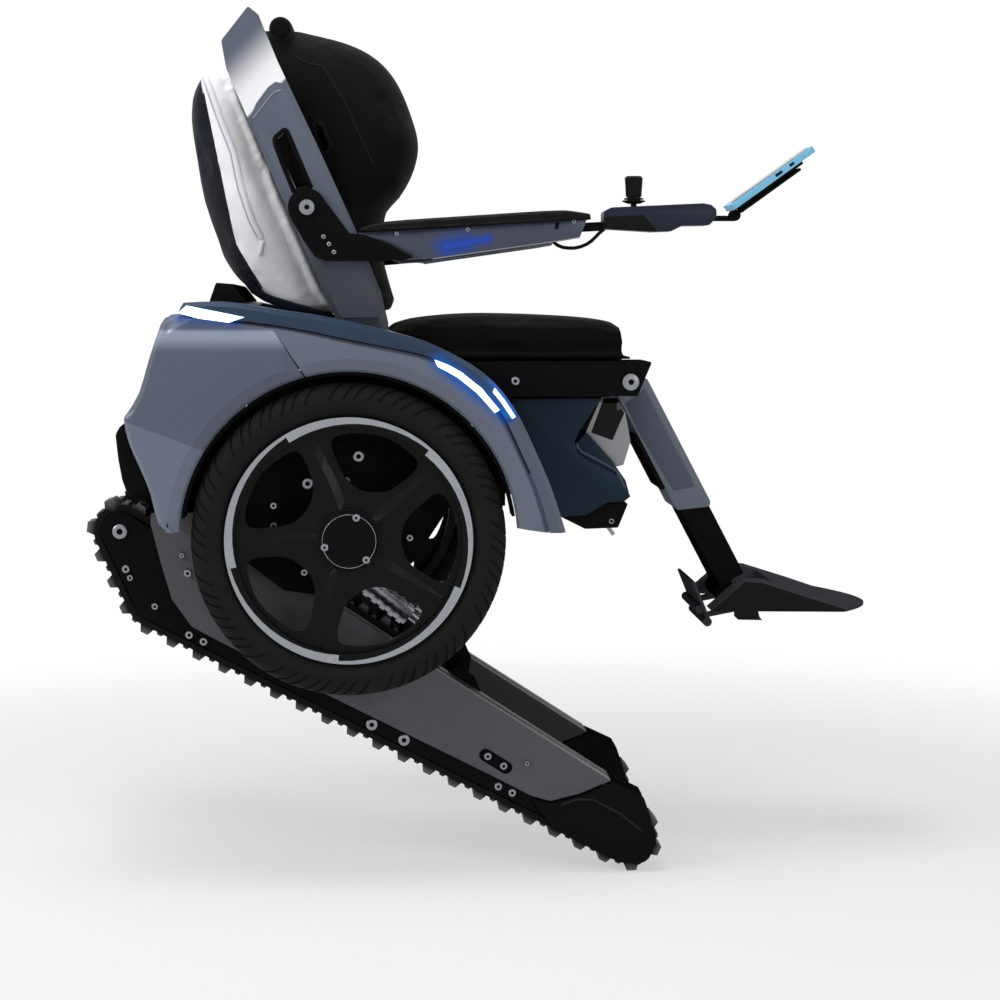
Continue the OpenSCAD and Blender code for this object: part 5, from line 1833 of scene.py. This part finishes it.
@dataclass
class FrontTrim:
    """The lamp pod's window and hood, the housing's edge beneath it and the seam strip of the fenders."""

    shop: Shop
    pod_half: float = 184.0
    lip_half: float = 196.0
    hood: Route = (
        (431.6, 229.0), (458.0, 229.0), (474.0, 198.0), (471.0, 164.0), (463.0, 150.0), (452.0, 145.0),
        (411.1, 166.0))
    hood_edge: float = 1.5
    window: Route = ((435.5, 226.5), (459.0, 227.5), (471.0, 201.0), (451.0, 154.5), (414.0, 167.7))
    window_sunk: float = 3.0
    window_out: float = 2.0
    window_edge: float = 0.8
    lip: Route = (
        (386.0, 150.0), (405.6, 168.5), (450.0, 120.0), (459.0, 106.0), (473.0, 86.0), (480.0, 60.0),
        (470.0, 52.0), (440.0, 80.0), (393.5, 122.0))
    lip_edge: float = 2.0
    hem: Route = (
        (388.0, 150.0), (389.5, 143.0), (396.0, 136.0), (427.7, 119.5), (456.0, 103.0), (464.0, 88.0),
        (471.0, 74.0))
    hem_face: float = 198.6
    hem_radius: float = 2.6
    eye: tuple[float, float] = (449.2, 15.3)
    eye_size: tuple[float, float] = (3.6, 1.2)
    eye_points: tuple[int, int] = (24, 10)
    latch: tuple[float, float] = (448.4, -1.0)
    latch_size: tuple[float, float, float] = (7.0, 9.0, 18.0)
    latch_inset: float = 6.0
    latch_lean: float = -35.0
    latch_edge: float = 1.2
    cap_face: float = 190.0
    seam_strip: Route = ((300.0, 110.0), (313.0, 83.0), (324.0, 45.0), (331.5, 14.0))
    strip_face: float = 337.0
    strip_half: float = 7.0
    strip_thick: float = 2.0

    def build(self) -> None:
        """Makes the hood, the windows, the lip and the strips."""
        hood = Bench.plate("lamp_hood", self.hood, -self.pod_half, self.pod_half, self.hood_edge)
        self.shop.finish(hood, POD_SILVER, "chassis", "pod_silver")
        lip = Bench.plate("housing_lip", self.lip, -self.lip_half, self.lip_half, self.lip_edge)
        self.shop.finish(lip, SLATE, "chassis", "slate_paint")
        inner, outer = self.pod_half - self.window_sunk, self.pod_half + self.window_out
        panes = [Bench.plate(f"pane_{side.word}", self.window, side.value * inner, side.value * outer,
                             self.window_edge) for side in Side]
        window = Bench.join(panes, "lamp_windows")
        self.shop.finish(window, WINDOW, "chassis", "gloss_black", ("front_lamp_windows",))
        for side in Side:
            rows = [[DATUM.at(x + reach, side.value * self.strip_face, z)
                     for reach in (-self.strip_half, self.strip_half)] for x, z in self.seam_strip]
            strip = Bench.panel(f"fender_strip_{side.word}", rows, self.strip_thick * MM)
            self.shop.finish(strip, FRONT_SILVER, "chassis", "silver_paint")
            # a strand along the housing's edge, in paler slate as a painted highlight
            places = [DATUM.at(x, side.value * self.hem_face, z) for x, z in self.hem]
            hem = Bench.tube(f"housing_hem_{side.word}", places, self.hem_radius * MM)
            self.shop.finish(hem, HEM_HIGHLIGHT_SLATE, "chassis", "slate_paint")
            self._fittings(side)

    def _fittings(self, side: Side) -> None:
        """Makes the tie-down eye and the latch of the lower cap on one side.

        Args:
            side: Which side.
        """
        face = side.value * self.cap_face
        major, minor = (value * MM for value in self.eye_size)
        eye = Bench.ring("eye", DATUM.at(self.eye[0], face, self.eye[1]), major, minor, self.eye_points)
        place = DATUM.at(self.latch[0], face - side.value * self.latch_inset, self.latch[1])
        latch = Bench.bar("latch", Vector(self.latch_size) * MM, place, self.latch_lean, self.latch_edge * MM)
        fittings = Bench.join([eye, latch], f"cap_fittings_{side.word}")
        Bench.smooth(fittings, 40.0)
        self.shop.finish(fittings, STEEL, "chassis", "bolt_steel")


@dataclass
class BackTrim:
    """Small hard pieces of the back: slot frames, panel edges painted bright as highlights, side brackets."""

    shop: Shop
    slot: Route = (
        (-124.0, 660.1), (-120.3, 667.5), (-107.5, 678.5), (-101.3, 679.6), (-95.8, 674.8), (-91.0, 663.8),
        (-63.5, 597.8), (-57.0, 583.0), (-60.0, 578.0), (-69.0, 577.0), (-80.0, 573.8), (-89.0, 570.5),
        (-93.0, 574.0), (-96.5, 583.1), (-111.2, 619.8), (-122.2, 649.1))
    slot_sunk: float = 12.0
    slot_out: float = 0.9
    slot_edge: float = 0.5
    slot_step: tuple[float, float] = (7.0, -8.0)
    edge: Route = (
        (-155.9, 693.9), (-152.6, 697.5), (-136.8, 718.1), (-122.2, 735.3), (-116.7, 739.0),
        (-109.3, 740.5))
    edge_out: float = 0.2
    edge_radius: float = 1.1
    bracket: Route = (
        (-60.0, 688.0), (-50.0, 698.0), (-37.3, 692.0), (-32.0, 672.0), (-20.3, 654.0), (-30.5, 637.0),
        (-43.1, 635.7), (-56.1, 674.0))
    bracket_side: tuple[float, float] = (188.0, 205.0)
    bracket_edge: float = 2.0
    bracket_steps: Route = ((5.0, 2.5), (9.0, -4.0))
    panel_face: float = 230.5
    face_depth: float = 0.2
    facing: float = 0.95

    def build(self) -> None:
        """Makes the pieces of both sides."""
        for side in Side:
            out = side.value
            slot = Bench.plate(f"wing_slot_{side.word}", self.slot, out * (self.panel_face - self.slot_sunk),
                               out * (self.panel_face + self.slot_out), self.slot_edge)
            self._step(slot, out, *self.slot_step)
            self.shop.finish(slot, BLACK_PLASTIC, "back", "trim_black")
            # a bright silver strand along the panel's top edge: a painted highlight
            places = [DATUM.at(x, out * (self.panel_face + self.edge_out), z) for x, z in self.edge]
            bright = Bench.tube(f"wing_edge_{side.word}", places, self.edge_radius * MM)
            self.shop.finish(bright, POD_SILVER, "back", "silver_paint")
            inner, outer = self.bracket_side
            bracket = Bench.plate(f"back_bracket_{side.word}", self.bracket, out * inner, out * outer,
                                  self.bracket_edge)
            for rim, rise in self.bracket_steps:
                self._step(bracket, out, rim, rise)
            self.shop.finish(bracket, BLACK_PLASTIC, "back", "trim_black")

    def _step(self, piece: bpy.types.Object, out: int, rim: float, rise: float) -> None:
        """Steps the outermost face of a piece in or out within a rim.

        Args:
            piece: The piece.
            out: The sign of y on its side.
            rim: Width of the rim in millimetres.
            rise: How far the face goes outwards.
        """
        face = max(v.co.y * out for v in piece.data.vertices) - self.face_depth * MM

        def outermost(place: Vector, normal: Vector) -> bool:
            """Whether a face is part of the outermost one."""
            return normal.y * out > self.facing and place.y * out > face

        with Bench.editing(piece):
            Bench.pick_faces(piece, outermost)
            bpy.ops.mesh.inset(thickness=rim * MM)
            bpy.ops.mesh.extrude_region_move(TRANSFORM_OT_translate={"value": (0.0, out * rise * MM, 0.0)})


@dataclass
class TrackTrim:
    """Covers and noses on the inner side of the tracks, and the fold in each outer nose."""

    shop: Shop
    mid: float = 213.0
    cut: float = 120.0
    edge: float = 1.4
    edge_angle: float = 28.0
    fold: Route = ((358.0, -465.0), (385.0, -456.0), (413.0, -457.0), (460.0, -482.0), (508.0, -521.0))
    fold_sunk: float = 0.6
    fold_steps: int = 4
    fold_radius: float = 1.8

    def build(self) -> None:
        """Makes the inner pieces and the folds."""
        for node, finish in (("track_covers", INNER_GREY), ("track_nose_caps", BLACK_PLASTIC)):
            self._inner(node, finish)
        for side in Side:
            # a raised fold on each outer nose, in paler grey as a painted highlight
            places = Bench.laid_on("track_nose_caps_edged", self.fold, side, self.fold_sunk, self.fold_steps)
            fold = Bench.tube(f"nose_fold_{side.word}", places, self.fold_radius * MM)
            self.shop.finish(fold, FOLD_HIGHLIGHT_GREY, "tracks", "trim_black")

    def _inner(self, node: str, finish: Finish) -> None:
        """Turns a copy of an outer piece to the inner side and keeps its front part.

        Args:
            node: The CAD node.
            finish: The copy's finish.
        """
        piece = Bench.copy_of(node, f"{node}_inner")
        with Bench.editing(piece):
            for side in Side:
                Bench.pick_points(piece, lambda place: place.y * side.value > 0.0)
                middle = (0.0, side.value * self.mid * MM, 0.0)
                bpy.ops.transform.resize(value=(1.0, -1.0, 1.0), center_override=middle)
            bpy.ops.mesh.select_all(action="SELECT")
            bpy.ops.mesh.bisect(plane_co=DATUM.at(self.cut, 0.0, 0.0), plane_no=(1.0, 0.0, 0.0),
                                use_fill=True, clear_inner=True)
        Bench.face_out(piece)
        Bench.break_edges(piece, self.edge * MM, self.edge_angle)
        Bench.smooth(piece, self.edge_angle)
        self.shop.finish(piece, finish, "tracks", SLOT_OF[node])


@dataclass
class LegTrim:
    """The black rack on the rear of the leg sleeve and the flat panels on its sides."""

    shop: Shop
    joint: tuple[float, float] = (477.0, 256.0)
    angle: float = 27.7
    behind: float = 22.6
    drop: float = 157.0
    size: tuple[float, float, float] = (8.0, 149.0, 106.0)
    rack_edge: float = 2.5
    panel: Route = (
        (485.7, 212.0), (506.1, 167.9), (572.3, 57.7), (610.0, 63.9), (600.6, 85.9), (520.3, 237.2))
    panel_side: tuple[float, float] = (74.5, 75.8)
    panel_edge: float = 0.5

    def build(self) -> None:
        """Makes the rack and the panels."""
        turn = math.radians(self.angle)
        down = Vector((math.sin(turn), 0.0, -math.cos(turn)))
        front = Vector((math.cos(turn), 0.0, math.sin(turn)))
        centre = DATUM.at(self.joint[0], 0.0, self.joint[1]) + (down * self.drop - front * self.behind) * MM
        rack = Bench.bar("leg_rack", Vector(self.size) * MM, centre, -self.angle, self.rack_edge * MM)
        self.shop.finish(rack, BLACK_PLASTIC, "leg", "trim_black")
        inner, outer = self.panel_side
        for side in Side:
            panel = Bench.plate(f"leg_panel_{side.word}", self.panel, side.value * inner, side.value * outer,
                                self.panel_edge)
            self.shop.finish(panel, PANEL_SILVER, "leg", SLOT_OF["leg_sleeve"])


@dataclass
class PhoneTrim:
    """The phone's screen, the pad under it and the dark ports along its edge."""

    shop: Shop
    glass_size: tuple[float, float, float] = (154.0, 69.0, 1.2)
    glass_lift: float = 5.3
    glass_edge: float = 0.3
    middle: float = -270.0
    pad_centre: tuple[float, float] = (699.5, 575.4)
    pad_size: tuple[float, float, float] = (122.0, 62.0, 5.0)
    pad_edge: float = 1.5
    angle: float = 35.6
    edge: float = -308.2
    ports: tuple[tuple[float, float, float], ...] = ((711.0, 602.4, 12.6), (732.0, 617.6, 8.6))
    port_h: float = 4.6
    port_t: float = 1.6
    port_edge: float = 0.4

    def build(self) -> None:
        """Makes the screen, the ports and the pad of the cradle."""
        low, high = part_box("phone")
        turn = math.radians(self.angle)
        up = Vector((-math.sin(turn), 0.0, math.cos(turn)))
        centre = (low + high) / 2 + up * self.glass_lift * MM
        screen = Bench.bar("phone_glass", Vector(self.glass_size) * MM, centre, -self.angle,
                           self.glass_edge * MM)
        self.shop.finish(screen, SCREEN, "phone_mount", "gloss_black")
        x, z = self.pad_centre
        pad = Bench.bar("cradle_pad", Vector(self.pad_size) * MM, DATUM.at(x, self.middle, z), -self.angle,
                        self.pad_edge * MM)
        self.shop.finish(pad, BLACK_PLASTIC, "phone_mount", "trim_black")
        for index, (x, z, length) in enumerate(self.ports):
            port = Bench.bar(f"phone_port_{index}", Vector((length, self.port_t, self.port_h)) * MM,
                             DATUM.at(x, self.edge, z), -self.angle, self.port_edge * MM)
            self.shop.finish(port, SCREEN, "phone_mount", "gloss_black")


@dataclass
class StickBoot:
    """The fixed rubber rings round the foot of the joystick."""

    shop: Shop
    foot: tuple[float, float, float] = (474.97, -270.0, 542.25)
    rings: tuple[tuple[float, float, float], ...] = ((18.0, 3.0, 1.2), (15.0, 2.0, 2.9))
    points: tuple[int, int] = (40, 12)

    def build(self) -> None:
        """Makes the rings as one piece."""
        made = []
        for major, minor, height in self.rings:
            x, y, z = self.foot
            place = DATUM.at(x, y, z + height)
            made.append(Bench.ring("boot_ring", place, major * MM, minor * MM, self.points, LEVEL))
        boot = Bench.join(made, "joystick_boot")
        Bench.smooth(boot, 60.0)
        self.shop.finish(boot, SOFT_BLACK, "arm_right", "grip_rubber")


@dataclass
class HubRing:
    """The thin bright line round one hub cap."""

    shop: Shop
    side: Side
    share: float = 0.9
    radius: float = 0.55
    points: tuple[int, int] = (96, 8)

    def build(self) -> None:
        """Makes the ring on the cap's outer face."""
        word = self.side.word
        low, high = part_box(f"hub_cap_{word}")
        middle = (low + high) / 2
        place = Vector((middle.x, self.side.face(low, high), middle.z))
        major = (high.z - low.z) / 2 * self.share
        ring = Bench.ring(f"hub_ring_{word}", place, major, self.radius * MM, self.points)
        Bench.smooth(ring, 60.0)
        self.shop.finish(ring, STEEL, f"wheel_{word}", "ring_silver")


# Padding


@dataclass(frozen=True)
class Padding:
    """How one soft piece is filled.

    It is tucked in, then blown up until a point has gone as far as the cap. Points whose normals lean towards
    the rest lie on something and stay. Lengths are in millimetres.
    """

    name: str
    node: str
    body: str
    slot: str
    finish: Finish
    pressure: float
    cap: float
    voxel: float = 6.0
    tuck: float = 4.0
    fill: float = 0.6
    rest: tuple[float, float, float] = (0.0, 0.0, -1.0)
    rest_share: float = 0.6
    frames: int = 20
    spread: float = 4.0


@dataclass
class Upholstery:
    """Seat, back, arm pads and bag."""

    shop: Shop
    back_rest: tuple[float, float, float] = (-0.93, 0.0, -0.36)
    bag_rest: tuple[float, float, float] = (0.93, 0.0, 0.36)
    roll_place: tuple[float, float] = (-112.0, 852.0)
    roll_radius: float = 22.0
    roll_half: float = 150.0
    roll_sides: int = 24
    roll_rim: float = 0.25
    roll_bulge: float = 0.35
    roll_knot: float = 0.4
    base: Route = (
        (-172.0, 428.0), (-160.0, 411.0), (-140.0, 398.0), (-103.0, 384.0), (-66.0, 374.0), (-32.0, 368.0))
    base_thick: float = 13.0
    base_edge: float = 3.5
    base_inset: float = 12.0
    crease: float = 80.0

    def build(self) -> None:
        """Makes every padded piece, the bag's base and the roll on top of the back."""
        for row in self._rows():
            self.fill(row)
        self._base()
        self._roll()

    def _rows(self) -> tuple[Padding, ...]:
        """Lists what is padded.

        Returns:
            A row for each piece.
        """
        return (
            Padding("seat_pad", "seat_cushion", "seat", "seat_fabric", SEAT_CLOTH, pressure=2.5, cap=8.0),
            Padding("back_pad", "back_cushion", "back", "seat_fabric", BACK_CLOTH, pressure=2.5, cap=7.0,
                    rest=self.back_rest),
            Padding("back_bag", "bag", "back", "bag_fabric", BAG_CLOTH, pressure=1.5, cap=7.0, fill=0.4,
                    rest=self.bag_rest),
            *(Padding(f"arm_pad_{side.word}_cover", f"arm_pad_{side.word}", f"arm_{side.word}", "pad_foam",
                      PAD_COVER, voxel=4.0, pressure=3.0, cap=3.0, tuck=1.5) for side in Side),
        )

    def _base(self) -> None:
        """Makes the dark gusset under the bag."""
        low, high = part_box("bag")
        half = (high.y - low.y) / 2 / MM - self.base_inset
        rows = [[DATUM.at(x, y, z) for y in (-half, -half / 2, half / 2, half)] for x, z in self.base]
        base = Bench.panel("bag_base", rows, self.base_thick * MM, self.base_edge * MM)
        self.shop.finish(base, GUSSET, "back", "bag_fabric")

    def _roll(self) -> None:
        """Makes the soft roll along the top of the back, tied in at its ends."""
        x, z = self.roll_place
        radius = self.roll_radius
        length = 2 * self.roll_half
        roll = Bench.drum("back_roll", DATUM.at(x, 0.0, z), radius * MM, length * MM, self.roll_sides)
        for way in Side:
            with Bench.editing(roll):
                Bench.pick_faces(roll, lambda _, normal: normal.y * way.value > Bench.FACING)
                bpy.ops.mesh.inset(thickness=radius * self.roll_rim * MM)
                bpy.ops.transform.translate(value=(0.0, way.value * radius * self.roll_bulge * MM, 0.0))
                bpy.ops.mesh.inset(thickness=radius * self.roll_knot * MM)
        Bench.modify(roll, "SUBSURF", levels=2, render_levels=2)
        Bench.smooth(roll, self.crease)
        self.shop.finish(roll, BACK_CLOTH, "back", "seat_fabric")

    def fill(self, row: Padding) -> bpy.types.Object:
        """Turns a CAD soft solid into a stuffed cover.

        Args:
            row: What to fill, and how.

        Returns:
            The padded piece.
        """
        pad = Bench.copy_of(row.node, row.name)
        Bench.take(pad)
        pad.data.remesh_voxel_size = row.voxel * MM
        bpy.ops.object.voxel_remesh()
        held = [v.normal.dot(Vector(row.rest)) > row.rest_share for v in pad.data.vertices]
        free = pad.vertex_groups.new(name="free")
        free.add([i for i, at_rest in enumerate(held) if not at_rest], 1.0, "REPLACE")
        Bench.modify(pad, "DISPLACE", strength=-row.tuck * MM, mid_level=0.0, vertex_group=free.name)
        self._inflate(pad, row, held)
        self._keep_in_place(pad, row)
        Bench.modify(pad, "SMOOTH", factor=0.5, iterations=3)
        Bench.modify(pad, "SUBSURF", levels=1, render_levels=1)
        Bench.smooth(pad, self.crease)
        return self.shop.finish(pad, row.finish, row.body, row.slot, (row.node,))

    @staticmethod
    def _inflate(pad: bpy.types.Object, row: Padding, held: Sequence[bool]) -> None:
        """Blows the cover up with cloth simulation and caps how far each point goes.

        Args:
            pad: The cover.
            row: How it is filled.
            held: Which of its points rest on something and stay.
        """
        rest = [v.co.copy() for v in pad.data.vertices]
        Bench.take(pad)
        cloth = pad.modifiers.new("cloth", "CLOTH")
        cloth.settings.use_pressure = True
        cloth.settings.uniform_pressure_force = row.pressure
        cloth.settings.effector_weights.gravity = 0.0
        cloth.point_cache.frame_start = 1
        cloth.point_cache.frame_end = row.frames
        scene = bpy.context.scene
        for step in range(1, row.frames + 1):
            scene.frame_set(step)
        bpy.ops.object.modifier_apply(modifier=cloth.name)
        scene.frame_set(1)
        for vertex, start, at_rest in zip(pad.data.vertices, rest, held):
            move = vertex.co - start
            reach = 0.0 if at_rest else row.cap * MM
            if move.length > reach:
                vertex.co = start + move.normalized() * reach

    @staticmethod
    def _keep_in_place(pad: bpy.types.Object, row: Padding) -> None:
        """Keeps the cover within a little of its solid's own space.

        Args:
            pad: The cover.
            row: How it is filled.
        """
        low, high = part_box(row.node)
        room = row.spread * MM
        for vertex in pad.data.vertices:
            for axis in range(3):
                bottom = low[axis] - (room if axis < 2 else 0.0)
                vertex.co[axis] = min(max(vertex.co[axis], bottom), high[axis] + room)


@dataclass(frozen=True)
class Strand:
    """A strand sewn along the side of a soft piece: its route in the side view and how far it is sunk."""

    name: str
    pad: str
    slot: str
    finish: Finish
    radius: float
    sunk: float
    route: Route


@dataclass
class Sewing:
    """Welts, seams and the bag's zip, laid on the finished soft pieces."""

    shop: Shop
    steps: int = 7
    zip_route: Route = (
        (-239.0, 774.0), (-227.0, 742.0), (-213.0, 701.0), (-190.0, 642.0), (-177.0, 579.0), (-160.0, 527.0),
        (-143.0, 494.0))
    zip_behind: float = 6.6
    pull_size: tuple[float, float, float] = (5.0, 3.4, 26.0)
    pull_behind: float = 3.0
    pull_below: float = 12.0
    pull_out: float = 1.4
    pull_lean: float = 14.0
    pull_edge: float = 1.0

    def build(self) -> None:
        """Sews every strand on both sides."""
        shifted = tuple((x - self.zip_behind, z) for x, z in self.zip_route)
        rows = (
            Strand("bag_welt", "back_bag", "bag_fabric", TAPE, radius=6.5, sunk=3.4, route=self.zip_route),
            # the zip line in greyer cloth: a real zip line that also paints the welt's shadow
            Strand("bag_zip", "back_bag", "bag_fabric", SHADOW_CLOTH, radius=1.6, sunk=0.2, route=shifted),
            Strand("bag_piping", "back_bag", "bag_fabric", PIPING, radius=1.7, sunk=0.5, route=(
                (-241.0, 740.0), (-233.0, 700.0), (-223.0, 650.0), (-210.0, 585.0), (-194.0, 505.0),
                (-190.0, 488.0), (-163.0, 442.0), (-143.0, 410.0))),
            Strand("back_seam", "back_pad", "seat_fabric", PIPING, radius=1.8, sunk=0.6, route=(
                (-89.0, 806.0), (-72.0, 794.0), (-41.0, 787.0), (-3.0, 724.0), (24.0, 664.0), (48.0, 610.0))),
            Strand("bolster_seam", "back_pad", "seat_fabric", PIPING, radius=1.4, sunk=0.7, route=(
                (-46.0, 826.0), (-4.0, 808.0), (33.0, 788.0), (62.0, 762.0))),
        )
        for row in rows:
            for side in Side:
                self._sew(row, side)
        for side in Side:
            self._pull(side)

    def _sew(self, row: Strand, side: Side) -> None:
        """Lays one strand on the cloth.

        Args:
            row: The strand.
            side: Which side it is on.
        """
        places = Bench.laid_on(row.pad, row.route, side, row.sunk, self.steps)
        strand = Bench.tube(f"{row.name}_{side.word}", places, row.radius * MM)
        self.shop.finish(strand, row.finish, "back", row.slot)

    def _pull(self, side: Side) -> None:
        """Hangs the zip's pull at the end of its route.

        Args:
            side: Which side it is on.
        """
        x, z = self.zip_route[-1]
        found = Bench.on_side("back_bag", x - self.pull_behind, z - self.pull_below, side)
        if found:
            centre = found[0] + Vector((0.0, side.value * self.pull_out * MM, 0.0))
            pull = Bench.bar(f"zip_pull_{side.word}", Vector(self.pull_size) * MM, centre, self.pull_lean,
                             self.pull_edge * MM)
            self.shop.finish(pull, TAPE, "back", "bag_fabric")


# Studio


@dataclass(frozen=True)
class SoftBox:
    """A square lamp: its place, aim and size in metres and its power in watts."""

    name: str
    place: tuple[float, float, float]
    aim: tuple[float, float, float]
    size: float
    power: float


@dataclass
class Studio:
    """Camera, floor and light."""

    eye: tuple[float, float, float] = (36.1, -3945.0, 403.0)
    yaw: float = 3.369
    pitch: float = 5.316
    focal_px: float = 2204.0
    frame_px: float = 1000.0
    sensor: float = 36.0
    floor_size: float = 24.0
    floor_drop: float = 0.0005
    floor_dark: tuple[float, float, float, float] = (0.86, 0.86, 0.865, 1.0)
    floor_pale: tuple[float, float, float, float] = (0.9, 0.9, 0.9, 1.0)
    white: tuple[float, float, float, float] = (1.0, 1.0, 1.0, 1.0)
    fade_from: float = 0.9
    fade_to: float = 2.4
    near_white: float = 0.5
    ambient: float = 0.36
    lamps: tuple[SoftBox, ...] = (
        SoftBox("top_box", (-0.6, -0.5, 3.3), (0.0, 0.0, 0.7), 1.5, 44.0),
        SoftBox("front_box", (2.2, -3.0, 1.7), (0.0, 0.0, 0.7), 1.2, 26.0),
        SoftBox("rear_box", (-2.8, -1.4, 2.2), (0.0, 0.0, 0.8), 1.2, 34.0),
    )

    def build(self) -> None:
        """Sets the camera, the floor, the world and the lamps."""
        self._camera()
        self._floor()
        self._world()
        self._lamps()
        bpy.context.scene.view_settings.view_transform = "Standard"

    def _camera(self) -> None:
        """Puts the camera where the photograph was taken from."""
        data = bpy.data.cameras.new("camera")
        data.sensor_width = self.sensor
        data.lens = self.focal_px * self.sensor / self.frame_px
        camera = bpy.data.objects.new("camera", data)
        bpy.context.scene.collection.objects.link(camera)
        camera.location = DATUM.at(*self.eye)
        camera.rotation_euler = (math.radians(90.0 - self.pitch), 0.0, math.radians(-self.yaw))
        bpy.context.scene.camera = camera

    def _floor(self) -> None:
        """Lays a pale floor that fades into the background."""
        Bench.rest()
        bpy.ops.mesh.primitive_circle_add(vertices=96, radius=self.floor_size / 2, fill_type="NGON",
                                          location=(0.0, 0.0, -self.floor_drop))
        floor = Bench.settle(bpy.context.object, "floor")
        web = Web("pale_floor")
        x, y, _ = web.split(web.place())
        far = (x * x + y * y).root().rise(self.fade_from, self.fade_to)
        grain = web.noise(40.0, 3.0)
        tone = web.mix(self.floor_dark, self.floor_pale, grain)
        matt = web.node("ShaderNodeBsdfDiffuse", inputs={"Color": tone})
        white = web.node("ShaderNodeEmission", inputs={"Color": self.white, "Strength": 1.0})
        seen = web.node("ShaderNodeLightPath", output="Is Camera Ray")
        shine = web.node("ShaderNodeLightPath", output="Is Glossy Ray")
        share = (far * (1.0 - self.near_white) + self.near_white) * seen.larger(shine)
        both = web.node("ShaderNodeMixShader", inputs={0: share, 1: matt, 2: white})
        web.add("ShaderNodeOutputMaterial", inputs={"Surface": both})
        floor.data.materials.append(web.owner)

    def _world(self) -> None:
        """White to the camera and to reflections, plain soft light to the rest."""
        world = bpy.data.worlds.new("studio")
        bpy.context.scene.world = world
        web = Web("studio", world)
        path = web.add("ShaderNodeLightPath").outputs
        rays = ("Camera", "Glossy", "Transmission")
        seen, shine, through = (Wire(web, path[f"Is {kind} Ray"]) for kind in rays)
        strength = seen.larger(shine).larger(through) * (1.0 - self.ambient) + self.ambient
        back = web.node("ShaderNodeBackground", inputs={"Color": self.white, "Strength": strength})
        web.add("ShaderNodeOutputWorld", inputs={"Surface": back})

    def _lamps(self) -> None:
        """Hangs soft boxes above, in front and behind."""
        for box in self.lamps:
            data = bpy.data.lights.new(box.name, "AREA")
            data.shape = "SQUARE"
            data.size = box.size
            data.energy = box.power
            lamp = bpy.data.objects.new(box.name, data)
            bpy.context.scene.collection.objects.link(lamp)
            lamp.location = box.place
            lamp.rotation_euler = (Vector(box.aim) - Vector(box.place)).to_track_quat("-Z", "Y").to_euler()


def main() -> None:
    """Builds the sub-assemblies in order."""
    logging.basicConfig(level=logging.INFO, format="%(message)s")
    Studio().build()
    wardrobe = Wardrobe()
    wardrobe.dress_nodes()
    shop = Shop(wardrobe)
    EdgeWork(shop).build()
    SmoothSkins(shop).build()
    Screws(shop).build()
    for side in Side:
        Wheel(shop, side).build()
        HubRing(shop, side).build()
        Belt(shop, side).build()
        ArmSkin(shop, side).build()
    for trim in (FrontTrim, BackTrim, TrackTrim, LegTrim, PhoneTrim, StickBoot):
        trim(shop).build()
    Upholstery(shop).build()
    Sewing(shop).build()


if __name__ == "__main__":
    main()
